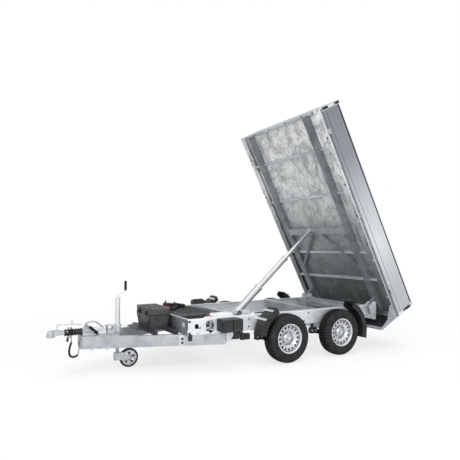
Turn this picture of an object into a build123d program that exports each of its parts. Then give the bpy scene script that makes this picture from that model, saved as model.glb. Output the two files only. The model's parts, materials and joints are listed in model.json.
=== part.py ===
from build123d import *

import os
from math import atan2, cos, degrees, hypot, pi, radians, sin, tan

# Three-way tipping trailer on two axles, with its load bed tipped to the rear.
# Millimetres. +X points forward to the coupling, +Y to the trailer's left and +Z up.
# The origin is on the ground under the middle of the whole trailer.

os.makedirs("parts", exist_ok=True)

# Clearances
bearing_gap = 0.05
slide_gap = 0.3
running_gap = 6

# Running gear
axle_front_x = -313
axle_rear_x = -1241
wheel_offset = 137
tyre_radius = 325
tyre_width = 188
rim_radius = 178
flange_radius = 196
rim_width = 152
rim_wall = 4
disc_face_y = 60
hub_radius = 32
stub_radius = 25
drum_radius = 120
vent_count = 16
vent_radius = 13
vent_ring_radius = 146
axle_tube = 80
axle_lead = 170
axle_seat = 8
arm_wall = 28

# Chassis frame
frame_front_x = 1073
frame_rear_x = -2039
frame_half_width = 700
frame_top_z = 650
frame_depth = 200
flange_width = 60
frame_wall = 6
frame_bend = 9
drawbar_front_x = 2197
drawbar_rear_x = 563
drawbar_front_y = 125
drawbar_spread = 30
drawbar_width = 60
drawbar_depth = 140
drawbar_wall = 4

# Tipping hinge and cylinder
tip_angle = 63
hinge_inset = 35
hinge_above = 32
hinge_ahead = 291
hinge_below = 119
hinge_pin_radius = 15
gimbal_x = -21
gimbal_under = 68
barrel_radius = 54
barrel_above = 540
barrel_below = 300
stage_2_radius = 41
stage_3_radius = 30
eye_ahead = 1563
eye_below = 120
eye_radius = 34
lug_gap_half = 45

# Load bed, along its own floor: forward from its rear edge and up from the rails' underside
bed_length = 3328
bed_overhang = 261
rail_height = 40
rail_width = 120
rail_wall = 4
floor_wall = 4
side_height = 350
side_wall = 30
panel_gap = 6
post_width = 60
post_depth = 50
skirt_drop = 377
longitudinal_inset = 25
longitudinal_width = 100
longitudinal_drop = 30
longitudinal_wall = 4
main_member_ahead = 1450
main_member_width = 100
main_member_drop = 45

# Front equipment, in a row from the drawbar's nose
coupling_above = 55
housing_setback = 14
housing_length = 286
bellows_length = 210
head_length = 207
ball_radius = 25
jockey_setback = 157
jockey_tube_radius = 30
jockey_inner_radius = 22
jockey_wheel_radius = 120
jockey_trail = 150
toolbox_gap = 50
toolbox_length = 278
toolbox_half_width = 270
toolbox_above = 50
toolbox_height = 257
toolbox_lid_height = 55

# What follows from them
frame_bottom_z = frame_top_z - frame_depth
web_middle_y = frame_half_width - frame_wall / 2
flange_tip_y = frame_half_width - flange_width
wheel_middle_y = frame_half_width + wheel_offset
drawbar_rear_y = frame_half_width + drawbar_spread
longitudinal_y = frame_half_width - longitudinal_inset
longitudinal_outer_y = longitudinal_y + longitudinal_width
bed_half_width = longitudinal_outer_y + bed_overhang
hinge_x = frame_rear_x + hinge_inset
hinge_z = frame_top_z + hinge_above
gimbal_z = frame_top_z - gimbal_under
coupling_axis_z = frame_bottom_z + coupling_above
housing_front_x = drawbar_front_x - housing_setback
housing_rear_x = housing_front_x - housing_length
jockey_x = housing_rear_x - jockey_setback
head_rear_x = housing_front_x + bellows_length
coupling_tip_x = head_rear_x + head_length
toolbox_rear_x = frame_front_x + toolbox_gap
toolbox_front_x = toolbox_rear_x + toolbox_length
toolbox_floor_z = frame_bottom_z + toolbox_above
toolbox_top_z = toolbox_floor_z + toolbox_height

tip_cos = cos(radians(tip_angle))
tip_sin = sin(radians(tip_angle))
bed_rear_x = hinge_x - hinge_ahead * tip_cos - hinge_below * tip_sin
bed_rear_z = hinge_z - hinge_ahead * tip_sin + hinge_below * tip_cos
bed_place = Plane(
    origin=(bed_rear_x, 0, bed_rear_z), x_dir=(tip_cos, 0, tip_sin), z_dir=(-tip_sin, 0, tip_cos)
).location

floor_under = rail_height - floor_wall

# Side members: folded C sections with their webs outside, cut out for the box and the pump
web_cut_table = [
    # back from the front end, down from the top, length, width, turn
    (300, 102, 165, 112, 90),
    (122, 118, 124, 54, 78),
    (164, 109, 24, 18, 0),
]
bolt_hole_table = [(18, 23), (18, 163)]
with BuildPart() as side_member_left:
    with BuildSketch(Plane.YZ.offset(frame_rear_x)) as section:
        with BuildLine() as fold:
            FilletPolyline(
                (flange_tip_y, frame_bottom_z + frame_wall / 2),
                (web_middle_y, frame_bottom_z + frame_wall / 2),
                (web_middle_y, frame_top_z - frame_wall / 2),
                (flange_tip_y, frame_top_z - frame_wall / 2),
                radius=frame_bend,
            )
        trace(fold.line, line_width=frame_wall)
    extrude(amount=frame_front_x - frame_rear_x)
    with BuildSketch(Plane.XZ.offset(-frame_half_width)) as web_cuts:
        for back, down, length, width, turn in web_cut_table:
            with Locations((frame_front_x - back, frame_top_z - down)):
                SlotOverall(length, width, rotation=turn)
        for back, down in bolt_hole_table:
            with Locations((frame_front_x - back, frame_top_z - down)):
                Circle(8)
    extrude(amount=frame_wall, mode=Mode.SUBTRACT)
side_member_left.part.label = "side_member_left"
export_step(side_member_left.part, "parts/side_member_left.step")

with BuildPart() as side_member_right:
    mirror(side_member_left.part, about=Plane.XZ)
side_member_right.part.label = "side_member_right"
export_step(side_member_right.part, "parts/side_member_right.step")

# Cross-members between the side members, folded channels open to the rear
cradle_member_x = gimbal_x + 378
cradle_member_flange = 50
cradle_member_depth = 120
cradle_bottom_z = frame_top_z - cradle_member_depth
low_member_depth = 80
front_member_flange = 40
cross_member_table = [
    # front face, top, depth, flange
    (frame_front_x, frame_top_z, frame_depth, front_member_flange),
    (cradle_member_x, frame_top_z, cradle_member_depth, cradle_member_flange),
    (gimbal_x - 100, cradle_bottom_z, low_member_depth, 50),
    (axle_rear_x + 264, frame_top_z, 0.9 * frame_depth, 50),
    (hinge_x + 344, frame_top_z, 60, 60),
    (hinge_x + 111, frame_top_z, 0.8 * frame_depth, 60),
]
with BuildPart() as cross_members:
    for front_x, top_z, depth, flange in cross_member_table:
        with BuildSketch(Plane.XZ.offset(-flange_tip_y)) as section:
            with BuildLine() as fold:
                FilletPolyline(
                    (front_x - flange, top_z - frame_wall / 2),
                    (front_x - frame_wall / 2, top_z - frame_wall / 2),
                    (front_x - frame_wall / 2, top_z - depth + frame_wall / 2),
                    (front_x - flange, top_z - depth + frame_wall / 2),
                    radius=frame_bend,
                )
            trace(fold.line, line_width=frame_wall)
        extrude(amount=2 * flange_tip_y)
cross_members.part.label = "cross_members"
export_step(cross_members.part, "parts/cross_members.step")

# Drawbar: two box beams under the side members that meet behind the coupling
drawbar_angle = degrees(atan2(drawbar_rear_y - drawbar_front_y, drawbar_front_x - drawbar_rear_x))
beam_slant = drawbar_width / cos(radians(drawbar_angle))
wall_slant = drawbar_wall / cos(radians(drawbar_angle))
beam_bottom_z = frame_bottom_z - drawbar_depth
nose_chamfer = 22


def beam_edge_y(x):
    return drawbar_rear_y - (x - drawbar_rear_x) * tan(radians(drawbar_angle))


with BuildPart() as drawbar_left:
    with BuildSketch(Plane.XY.offset(beam_bottom_z)) as plan:
        with BuildLine():
            Polyline(
                (drawbar_front_x, drawbar_front_y),
                (drawbar_rear_x, drawbar_rear_y),
                (drawbar_rear_x, drawbar_rear_y - beam_slant),
                (drawbar_front_x, drawbar_front_y - beam_slant),
                close=True,
            )
        make_face()
    extrude(amount=drawbar_depth)
    with BuildSketch(Plane.XY.offset(beam_bottom_z + drawbar_wall)) as hollow:
        with BuildLine():
            inner_front_x = drawbar_front_x - 2 * drawbar_wall
            Polyline(
                (inner_front_x, beam_edge_y(inner_front_x) - wall_slant),
                (drawbar_rear_x - 1, beam_edge_y(drawbar_rear_x - 1) - wall_slant),
                (drawbar_rear_x - 1, beam_edge_y(drawbar_rear_x - 1) - beam_slant + wall_slant),
                (inner_front_x, beam_edge_y(inner_front_x) - beam_slant + wall_slant),
                close=True,
            )
        make_face()
    extrude(amount=drawbar_depth - 2 * drawbar_wall, mode=Mode.SUBTRACT)
drawbar_left.part.label = "drawbar_left"
export_step(drawbar_left.part, "parts/drawbar_left.step")

with BuildPart() as drawbar_right:
    mirror(drawbar_left.part, about=Plane.XZ)
drawbar_right.part.label = "drawbar_right"
export_step(drawbar_right.part, "parts/drawbar_right.step")

# Brackets that bolt the beams to the side members: a plate on each beam's outer face
bracket_front_x = frame_front_x + 50
bracket_rear_x = frame_front_x - 243
bracket_plate = 8
with BuildPart() as drawbar_brackets:
    for side in (-1, 1):
        with BuildSketch(Plane.XY.offset(beam_bottom_z)) as plan:
            with BuildLine():
                Polyline(
                    (bracket_front_x, side * beam_edge_y(bracket_front_x)),
                    (bracket_rear_x, side * beam_edge_y(bracket_rear_x)),
                    (bracket_rear_x, side * (beam_edge_y(bracket_rear_x) + bracket_plate)),
                    (bracket_front_x, side * (beam_edge_y(bracket_front_x) + bracket_plate)),
                    close=True,
                )
            make_face()
        extrude(amount=drawbar_depth)
        with BuildSketch(Plane.XY.offset(frame_bottom_z)) as foot:
            with BuildLine():
                Polyline(
                    (frame_front_x, side * beam_edge_y(frame_front_x)),
                    (bracket_rear_x, side * beam_edge_y(bracket_rear_x)),
                    (bracket_rear_x, side * frame_half_width),
                    (frame_front_x, side * frame_half_width),
                    close=True,
                )
            make_face()
        extrude(amount=-bracket_plate)
drawbar_brackets.part.label = "drawbar_brackets"
export_step(drawbar_brackets.part, "parts/drawbar_brackets.step")

# Nose plate on the beams' front ends, with two cable tabs under it
nose_rear_x = jockey_x + 60
nose_wall = 10
gland_reach = 30
gland_height = 28
cable_start_y = 30
cable_start_z = frame_bottom_z - 50
with BuildPart() as drawbar_nose:
    with BuildSketch(Plane.XY.offset(frame_bottom_z)) as plan:
        with BuildLine():
            Polyline(
                (drawbar_front_x, drawbar_front_y),
                (nose_rear_x, beam_edge_y(nose_rear_x)),
                (nose_rear_x, -beam_edge_y(nose_rear_x)),
                (drawbar_front_x, -drawbar_front_y),
                close=True,
            )
        make_face()
    extrude(amount=nose_wall)
    with BuildSketch(Plane.YZ.offset(drawbar_front_x)) as front_plate:
        with BuildLine():
            Polyline(
                (drawbar_front_y, frame_bottom_z + nose_wall),
                (drawbar_front_y, beam_bottom_z + nose_chamfer),
                (drawbar_front_y - nose_chamfer, beam_bottom_z),
                (nose_chamfer - drawbar_front_y, beam_bottom_z),
                (-drawbar_front_y, beam_bottom_z + nose_chamfer),
                (-drawbar_front_y, frame_bottom_z + nose_wall),
                close=True,
            )
        make_face()
    extrude(amount=nose_wall)
    with BuildSketch(Plane.XZ) as cable_tab:
        with Locations((drawbar_front_x + nose_wall / 2, beam_bottom_z - 8)):
            Rectangle(nose_wall, 24)
            Circle(3, mode=Mode.SUBTRACT)
    extrude(amount=9, both=True)
    with Locations((drawbar_front_x + nose_wall + gland_reach / 2, cable_start_y, cable_start_z + gland_height / 2)):
        Box(gland_reach, 24, gland_height)
drawbar_nose.part.label = "drawbar_nose"
export_step(drawbar_nose.part, "parts/drawbar_nose.step")

# Overrun housing, bellows and ball coupling along one axis
nose_top_z = frame_bottom_z + nose_wall
housing_radius = 42
housing_base_half = 62
brake_pad_y = housing_radius + 8
bellows_radius = 42
bellows_valley = 33
bellows_ribs = 7
with BuildPart() as overrun_housing:
    with BuildSketch(Plane.YZ.offset(housing_rear_x)) as section:
        with Locations((0, coupling_axis_z)):
            Circle(housing_radius)
        with BuildLine():
            Polyline(
                (housing_base_half, nose_top_z),
                (housing_base_half, nose_top_z + 10),
                (housing_radius - 4, coupling_axis_z),
                (4 - housing_radius, coupling_axis_z),
                (-housing_base_half, nose_top_z + 10),
                (-housing_base_half, nose_top_z),
                close=True,
            )
        make_face()
    extrude(amount=housing_length)
    with BuildSketch(Plane.YZ.offset(housing_front_x)) as collar:
        with Locations((0, coupling_axis_z)):
            Circle(housing_radius + 2)
    extrude(amount=-22)
    with Locations((housing_front_x - 55, brake_pad_y / 2, coupling_axis_z + 10)):
        Box(90, brake_pad_y, 36)
overrun_housing.part.label = "overrun_housing"
export_step(overrun_housing.part, "parts/overrun_housing.step")

coupling_axis = Axis((housing_front_x, 0, coupling_axis_z), (1, 0, 0))
rib_pitch = bellows_length / bellows_ribs
with BuildPart() as coupling_bellows:
    with BuildSketch(Plane.XZ) as profile:
        with BuildLine():
            rib_points = []
            for rib in range(bellows_ribs):
                rib_x = housing_front_x + rib * rib_pitch
                rib_points.append((rib_x, coupling_axis_z + bellows_valley))
                rib_points.append((rib_x + 0.35 * rib_pitch, coupling_axis_z + bellows_radius))
                rib_points.append((rib_x + 0.65 * rib_pitch, coupling_axis_z + bellows_radius))
            rib_points.append((housing_front_x + bellows_length, coupling_axis_z + bellows_valley))
            Polyline(
                (housing_front_x, coupling_axis_z),
                *rib_points,
                (housing_front_x + bellows_length, coupling_axis_z),
                close=True,
            )
        make_face()
    revolve(axis=coupling_axis)
coupling_bellows.part.label = "coupling_bellows"
export_step(coupling_bellows.part, "parts/coupling_bellows.step")

# Ball coupling: pressed head with its socket, and the hand lever over it
ball_x = coupling_tip_x - 50
head_bottom_z = coupling_axis_z - 32
head_top_z = coupling_axis_z + 40
head_half_width = 36
with BuildPart() as coupling_head:
    with BuildSketch(Plane.XZ) as profile:
        with BuildLine():
            Polyline(
                (head_rear_x, coupling_axis_z - 22),
                (ball_x - 70, head_bottom_z + 6),
                (ball_x - 38, head_bottom_z - 12),
                (coupling_tip_x - 6, head_bottom_z - 12),
                (coupling_tip_x, head_bottom_z + 4),
                (coupling_tip_x - 18, head_top_z - 18),
                (ball_x - 10, head_top_z),
                (ball_x - 90, head_top_z),
                (head_rear_x, coupling_axis_z + 26),
                close=True,
            )
        make_face()
    extrude(amount=head_half_width, both=True)
    with BuildSketch(Plane.XY.offset(head_bottom_z - 20)) as plan:
        with Locations(((head_rear_x + ball_x) / 2, 0)):
            Rectangle(ball_x - head_rear_x, 1.3 * head_half_width)
        with Locations((ball_x, 0)):
            Ellipse(coupling_tip_x - ball_x, head_half_width)
    extrude(amount=120, mode=Mode.INTERSECT)
    with Locations((ball_x, 0, head_bottom_z + 16)):
        Sphere(ball_radius, mode=Mode.SUBTRACT)
    with BuildSketch(Plane.XY.offset(head_bottom_z - 14)) as socket:
        with Locations((ball_x, 0)):
            Circle(ball_radius)
    extrude(amount=30, mode=Mode.SUBTRACT)
coupling_head.part.label = "coupling_head"
export_step(coupling_head.part, "parts/coupling_head.step")

lever_width = 22
with BuildPart() as coupling_lever:
    with BuildSketch(Plane.XZ) as profile:
        with BuildLine() as lever_line:
            FilletPolyline(
                (ball_x - 76, head_top_z),
                (ball_x - 76, head_top_z + 62),
                (housing_front_x + 10, head_top_z + 48),
                radius=14,
            )
        trace(lever_line.line, line_width=10)
    extrude(amount=lever_width / 2, both=True)
    with Locations((housing_front_x + 118, 0, head_top_z + 78)):
        Box(26, 8, 52)
coupling_lever.part.label = "coupling_lever"
export_step(coupling_lever.part, "parts/coupling_lever.step")

# Handbrake lever on the housing's left side: a quadrant, an arched bar and its grip
brake_pivot_x = housing_front_x - 30
brake_pivot_z = coupling_axis_z + 62
brake_plate = 18
brake_y = brake_pad_y + 12
grip_y = brake_y + 14
grip_radius = 15
grip_length = 138
grip_slope = (-0.75, 0, -0.66)
brake_rod_radius = 9
with BuildPart() as handbrake_lever:
    with BuildSketch(Plane.XZ.offset(-brake_pad_y)) as quadrant:
        with BuildLine():
            Polyline(
                (brake_pivot_x - 70, coupling_axis_z),
                (brake_pivot_x + 20, coupling_axis_z),
                (brake_pivot_x + 20, brake_pivot_z + 18),
                (brake_pivot_x - 14, brake_pivot_z + 34),
                (brake_pivot_x - 44, brake_pivot_z + 8),
                close=True,
            )
        make_face()
    extrude(amount=-brake_plate)
    with BuildLine() as arch:
        FilletPolyline(
            (brake_pivot_x + 8, brake_y, brake_pivot_z + 8),
            (brake_pivot_x - 4, brake_y, brake_pivot_z + 44),
            (brake_pivot_x - 60, brake_y, brake_pivot_z + 60),
            (brake_pivot_x - 122, brake_y, brake_pivot_z + 54),
            (brake_pivot_x - 215, brake_y, brake_pivot_z - 24),
            radius=18,
        )
    with BuildSketch(Plane(origin=arch.line @ 0, z_dir=arch.line % 0)):
        Circle(brake_rod_radius)
    sweep(transition=Transition.ROUND)
    with BuildSketch(Plane(origin=(brake_pivot_x - 42, grip_y, brake_pivot_z), z_dir=grip_slope)):
        Circle(grip_radius)
    extrude(amount=grip_length)
    with BuildSketch(Plane(origin=(brake_pivot_x - 6, grip_y, brake_pivot_z + 28), z_dir=grip_slope)):
        Circle(brake_rod_radius)
    extrude(amount=60)
handbrake_lever.part.label = "handbrake_lever"
export_step(handbrake_lever.part, "parts/handbrake_lever.step")

# Jockey stand: clamp on the nose plate, outer tube with its crank, inner leg, fork and wheel
clamp_top_z = nose_top_z + 98
clamp_ring_radius = jockey_tube_radius + 14
clamp_half_width = 48
clamp_reach = 142
tube_bottom_z = nose_top_z - 140
tube_top_z = nose_top_z + 436
tube_cap = 12
tube_overlap = 256
crank_radius = 7
crank_reach = 100
grip_bottom_z = tube_top_z + 90
crank_grip_length = 116
with BuildPart() as jockey_clamp:
    with BuildSketch(Plane.XY.offset(nose_top_z)) as plan:
        with BuildLine():
            Polyline(
                (jockey_x + 12, clamp_ring_radius - 10),
                (jockey_x + 60, clamp_half_width),
                (jockey_x + clamp_reach, clamp_half_width),
                (jockey_x + clamp_reach, -clamp_half_width),
                (jockey_x + 60, -clamp_half_width),
                (jockey_x + 12, 10 - clamp_ring_radius),
                close=True,
            )
        make_face()
        with Locations((jockey_x, 0)):
            Circle(clamp_ring_radius)
            Circle(jockey_tube_radius, mode=Mode.SUBTRACT)
    extrude(amount=clamp_top_z - nose_top_z)
    with BuildSketch(Plane.XZ.offset(-60)) as waist:
        with Locations((jockey_x + 96, (nose_top_z + clamp_top_z) / 2 + 14)):
            RectangleRounded(56, clamp_top_z - nose_top_z - 56, 10)
    extrude(amount=120, mode=Mode.SUBTRACT)
    with BuildSketch(Plane.XZ.offset(6 - clamp_ring_radius)) as screw:
        with Locations((jockey_x, clamp_top_z - 22)):
            Circle(8)
    extrude(amount=-40)
jockey_clamp.part.label = "jockey_clamp"
export_step(jockey_clamp.part, "parts/jockey_clamp.step")

with BuildPart() as jockey_tube:
    with BuildSketch(Plane.XY.offset(tube_bottom_z)) as section:
        with Locations((jockey_x, 0)):
            Circle(jockey_tube_radius)
            Circle(jockey_inner_radius + slide_gap, mode=Mode.SUBTRACT)
    extrude(amount=tube_top_z - tube_bottom_z - tube_cap)
    with BuildSketch(Plane.XY.offset(tube_top_z - tube_cap)) as cap:
        with Locations((jockey_x, 0)):
            Circle(jockey_tube_radius + 3)
    extrude(amount=tube_cap)
    with BuildLine() as crank_path:
        FilletPolyline(
            (jockey_x, 0, tube_top_z),
            (jockey_x, 0, tube_top_z + 36),
            (jockey_x - crank_reach, 0, tube_top_z + 76),
            (jockey_x - crank_reach, 0, grip_bottom_z),
            radius=6,
        )
    with BuildSketch(Plane(origin=crank_path.line @ 0, z_dir=crank_path.line % 0)):
        Circle(crank_radius)
    sweep()
    with BuildSketch(Plane.XY.offset(grip_bottom_z)) as grip:
        with Locations((jockey_x - crank_reach, 0)):
            Circle(crank_radius + 8)
    extrude(amount=crank_grip_length)
jockey_tube.part.label = "jockey_tube"
export_step(jockey_tube.part, "parts/jockey_tube.step")

fork_half_gap = 30
fork_wall = 4
fork_top_z = jockey_wheel_radius + 78
fork_nose = 40
fork_pin_radius = 8
seat_gap = 0.3
with BuildPart() as jockey_leg:
    with BuildSketch(Plane.XY.offset(fork_top_z + seat_gap)) as section:
        with Locations((jockey_x, 0)):
            Circle(jockey_inner_radius)
    extrude(amount=tube_bottom_z + tube_overlap - fork_top_z - seat_gap)
jockey_leg.part.label = "jockey_leg"
export_step(jockey_leg.part, "parts/jockey_leg.step")

wheel_x = jockey_x - jockey_trail
with BuildPart() as jockey_fork:
    with BuildSketch(Plane.XZ) as fork_side:
        with BuildLine():
            Polyline(
                (wheel_x - 16, jockey_wheel_radius - 16),
                (jockey_x + fork_nose, jockey_wheel_radius - 16),
                (jockey_x + fork_nose, fork_top_z),
                (jockey_x - 72, fork_top_z),
                (wheel_x - 16, jockey_wheel_radius + 16),
                close=True,
            )
        make_face()
    extrude(amount=fork_half_gap + fork_wall, both=True)
    with BuildSketch(Plane.XZ) as fork_space:
        with Locations((wheel_x, jockey_wheel_radius)):
            Circle(jockey_wheel_radius + running_gap)
    extrude(amount=fork_half_gap, both=True, mode=Mode.SUBTRACT)
    with BuildSketch(Plane.XZ) as fork_pin:
        with Locations((wheel_x, jockey_wheel_radius)):
            Circle(fork_pin_radius)
    extrude(amount=fork_half_gap + 1, both=True)
jockey_fork.part.label = "jockey_fork"
export_step(jockey_fork.part, "parts/jockey_fork.step")

jockey_tyre_half = 22
jockey_tyre_wall = 24
jockey_axis = Axis((wheel_x, 0, jockey_wheel_radius), (0, 1, 0))
with BuildPart() as jockey_tyre:
    with BuildSketch(Plane.YZ.offset(wheel_x)) as section:
        with Locations((0, 2 * jockey_wheel_radius - jockey_tyre_wall / 2)):
            Trapezoid(2 * jockey_tyre_half, jockey_tyre_wall, 75)
    revolve(axis=jockey_axis)
jockey_tyre.part.label = "jockey_tyre"
export_step(jockey_tyre.part, "parts/jockey_tyre.step")

jockey_rim_radius = jockey_wheel_radius - jockey_tyre_wall
jockey_holes = 5
with BuildPart() as jockey_rim:
    with BuildSketch(Plane.YZ.offset(wheel_x)) as section:
        with Locations((0, jockey_wheel_radius + jockey_rim_radius - 4)):
            Rectangle(2 * jockey_tyre_half - 4, 8)
        with Locations((0, jockey_wheel_radius + (jockey_rim_radius + 11) / 2)):
            Rectangle(6, jockey_rim_radius - 11)
        with Locations((0, jockey_wheel_radius + fork_pin_radius + bearing_gap + 7)):
            Rectangle(2 * (fork_half_gap - seat_gap), 14)
    revolve(axis=jockey_axis)
    with BuildSketch(Plane.XZ) as windows:
        with Locations((wheel_x, jockey_wheel_radius)):
            with PolarLocations(60, jockey_holes):
                Circle(17)
    extrude(amount=10, both=True, mode=Mode.SUBTRACT)
jockey_rim.part.label = "jockey_rim"
export_step(jockey_rim.part, "parts/jockey_rim.step")

# Tray ahead of the frame on two bearers, toolbox and lid
tray_wall = 6
tray_front_x = toolbox_front_x + 150
bearer_width = 50
bearer_height = toolbox_floor_z - tray_wall - frame_bottom_z
with BuildPart() as drawbar_plate:
    with BuildSketch(Plane.XY.offset(toolbox_floor_z - tray_wall)) as plan:
        with BuildLine():
            Polyline(
                (frame_front_x, toolbox_half_width + 50),
                (toolbox_front_x, toolbox_half_width + 20),
                (tray_front_x, toolbox_half_width - 60),
                (tray_front_x, 60 - toolbox_half_width),
                (toolbox_front_x, -toolbox_half_width - 20),
                (frame_front_x, -toolbox_half_width - 50),
                close=True,
            )
        make_face()
    extrude(amount=tray_wall)
    for bearer_x in (toolbox_rear_x + 20, toolbox_front_x - 20):
        bearer_reach = beam_edge_y(bearer_x + bearer_width / 2)
        with Locations((bearer_x, 0, frame_bottom_z + bearer_height / 2)):
            Box(bearer_width, 2 * bearer_reach, bearer_height)
drawbar_plate.part.label = "drawbar_plate"
export_step(drawbar_plate.part, "parts/drawbar_plate.step")

# Toolbox: a moulded tub with drawn-in foot and a sill band under the lid
toolbox_wall = 8
toolbox_split_z = toolbox_top_z - toolbox_lid_height
toolbox_middle_x = toolbox_rear_x + toolbox_length / 2
toolbox_corner = 24
foot_inset = 22
band_height = 26
latch_half_gap = 130
with BuildPart() as toolbox:
    with BuildSketch(Plane.XY.offset(toolbox_floor_z)) as foot:
        with Locations((toolbox_middle_x, 0)):
            RectangleRounded(toolbox_length - 2 * foot_inset, 2 * (toolbox_half_width - foot_inset), toolbox_corner)
    with BuildSketch(Plane.XY.offset(toolbox_split_z - band_height)) as shoulder:
        with Locations((toolbox_middle_x, 0)):
            RectangleRounded(toolbox_length - 12, 2 * toolbox_half_width - 12, toolbox_corner)
    loft()
    with BuildSketch(Plane.XY.offset(toolbox_split_z - band_height)) as band:
        with Locations((toolbox_middle_x, 0)):
            RectangleRounded(toolbox_length, 2 * toolbox_half_width, toolbox_corner)
    extrude(amount=band_height)
    with BuildSketch(Plane.XY.offset(toolbox_floor_z + toolbox_wall)) as inside:
        with Locations((toolbox_middle_x, 0)):
            RectangleRounded(
                toolbox_length - 2 * foot_inset - 2 * toolbox_wall,
                2 * (toolbox_half_width - foot_inset - toolbox_wall),
                toolbox_corner - toolbox_wall,
            )
    extrude(amount=toolbox_split_z - toolbox_floor_z, mode=Mode.SUBTRACT)
    for side in (-1, 1):
        with Locations((toolbox_front_x + 4, side * latch_half_gap, toolbox_split_z - 30)):
            Box(12, 44, 34)
toolbox.part.label = "toolbox"
export_step(toolbox.part, "parts/toolbox.step")

with BuildPart() as toolbox_lid:
    with BuildSketch(Plane.XY.offset(toolbox_split_z + seat_gap)) as plan:
        with Locations((toolbox_middle_x, 0)):
            RectangleRounded(toolbox_length, 2 * toolbox_half_width, toolbox_corner)
    extrude(amount=toolbox_lid_height - seat_gap)
    chamfer(toolbox_lid.faces().sort_by(Axis.Z)[-1].edges(), length=10)
    with BuildSketch(Plane.XY.offset(toolbox_split_z + seat_gap)) as inside:
        with Locations((toolbox_middle_x, 0)):
            RectangleRounded(
                toolbox_length - 2 * toolbox_wall,
                2 * (toolbox_half_width - toolbox_wall),
                toolbox_corner - toolbox_wall,
            )
    extrude(amount=toolbox_lid_height - seat_gap - 2 * toolbox_wall, mode=Mode.SUBTRACT)
    for rib in (-1, 0, 1):
        with Locations((toolbox_middle_x, rib * toolbox_half_width * 0.55, toolbox_top_z)):
            Box(toolbox_length - 70, 60, 6)
    for side in (-1, 1):
        with Locations((toolbox_front_x + 4, side * latch_half_gap, toolbox_split_z + 14)):
            Box(12, 44, 24)
toolbox_lid.part.label = "toolbox_lid"
export_step(toolbox_lid.part, "parts/toolbox_lid.step")

# Pump and battery unit on its rails, under a low cover with a drawn edge
unit_middle_y = -80
unit_half_width = 400
unit_rail_width = 30
unit_rail_z = frame_top_z - 105
unit_front_x = frame_front_x - front_member_flange - 36
unit_rear_gap = 140
unit_rear_x = cradle_member_x + unit_rear_gap
unit_length = unit_front_x - unit_rear_x
unit_bottom_z = frame_bottom_z + 10
unit_top_z = frame_top_z + 10
with BuildPart() as power_unit:
    with BuildSketch(Plane.XY.offset(unit_bottom_z)) as plan:
        with Locations(((unit_front_x + unit_rear_x) / 2, unit_middle_y)):
            RectangleRounded(unit_length, 2 * unit_half_width, 24)
    extrude(amount=unit_top_z - unit_bottom_z)
    chamfer(power_unit.faces().sort_by(Axis.Z)[-1].edges(), length=16)
power_unit.part.label = "power_unit"
export_step(power_unit.part, "parts/power_unit.step")

with BuildPart() as unit_rails:
    rail_length = frame_front_x - frame_wall - cradle_member_x
    for side in (-1, 1):
        with BuildSketch(Plane.YZ.offset(cradle_member_x)) as section:
            rail_y = unit_middle_y + side * (unit_half_width + unit_rail_width / 2)
            with Locations((rail_y, unit_rail_z + 25)):
                Rectangle(unit_rail_width, 50)
            with Locations((rail_y + side * 3, unit_rail_z + 22)):
                Rectangle(unit_rail_width - 6, 44, mode=Mode.SUBTRACT)
        extrude(amount=rail_length)
unit_rails.part.label = "unit_rails"
export_step(unit_rails.part, "parts/unit_rails.step")

# Twin box on the left web: two moulded halves with a groove between them
side_box_x = frame_front_x - 540
side_box_z = frame_top_z - 90
side_box_length = 283
side_box_depth = 180
side_box_height = 160
with BuildPart() as side_box:
    with BuildSketch(Plane.XZ.offset(-frame_half_width)) as outline:
        with Locations((side_box_x, side_box_z)):
            RectangleRounded(side_box_length, side_box_height, 14)
    extrude(amount=-side_box_depth)
    fillet(side_box.faces().sort_by(Axis.Y)[-1].edges(), radius=10)
    with Locations((side_box_x + 5, frame_half_width + side_box_depth, side_box_z)):
        Box(12, 60, side_box_height + 10, mode=Mode.SUBTRACT)
    with Locations((side_box_x, frame_half_width + side_box_depth, side_box_z + 46)):
        Box(side_box_length + 10, 8, 5, mode=Mode.SUBTRACT)
side_box.part.label = "side_box"
export_step(side_box.part, "parts/side_box.step")

# Connection cable: out of the nose, down in a loop, twice round the bellows to its plug
cable_radius = 4.5
cable_route_table = [
    # ahead of the gland's middle, left, above the gland's foot
    (0, 0, 0),
    (0, 0, -75),
    (4, 2, -154),
    (38, 5, -188),
    (86, 10, -188),
    (120, 16, -154),
    (118, 20, -68),
    (92, 24, 2),
    (82, -88, 47),
    (86, -88, 163),
    (92, 28, 163),
    (98, 28, 47),
    (106, -88, 47),
    (114, -88, 163),
    (128, 28, 163),
    (140, 36, 62),
]
gland_middle_x = drawbar_front_x + nose_wall + gland_reach / 2
cable_points = [
    (gland_middle_x + ahead, cable_start_y + left, cable_start_z + above) for ahead, left, above in cable_route_table
]


def arc_radii(points):
    radii = []
    for before, here, after in zip(points, points[1:], points[2:]):
        arriving = Vector(here) - Vector(before)
        leaving = Vector(after) - Vector(here)
        half_turn = radians(arriving.get_angle(leaving) / 2)
        radii.append(0.45 * min(arriving.length, leaving.length) / tan(half_turn))
    return radii


cable_radii = arc_radii(cable_points)
with BuildPart() as cable:
    with BuildLine() as cable_path:
        FilletPolyline(*cable_points, radius=cable_radii)
    with BuildSketch(Plane(origin=cable_path.line @ 0, z_dir=cable_path.line % 0)):
        Circle(cable_radius)
    sweep()
cable.part.label = "cable"
export_step(cable.part, "parts/cable.step")
print("cable radii", [round(radius) for radius in cable_radii], "length", round(cable_path.wire().length))

plug_radius = 13
plug_length = 56
with BuildPart() as cable_plug:
    with BuildSketch(Plane(origin=cable_path.line @ 1, z_dir=cable_path.line % 1)) as section:
        Circle(plug_radius)
    extrude(amount=plug_length)
    chamfer(cable_plug.edges(), length=3)
cable_plug.part.label = "cable_plug"
export_step(cable_plug.part, "parts/cable_plug.step")

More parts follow.
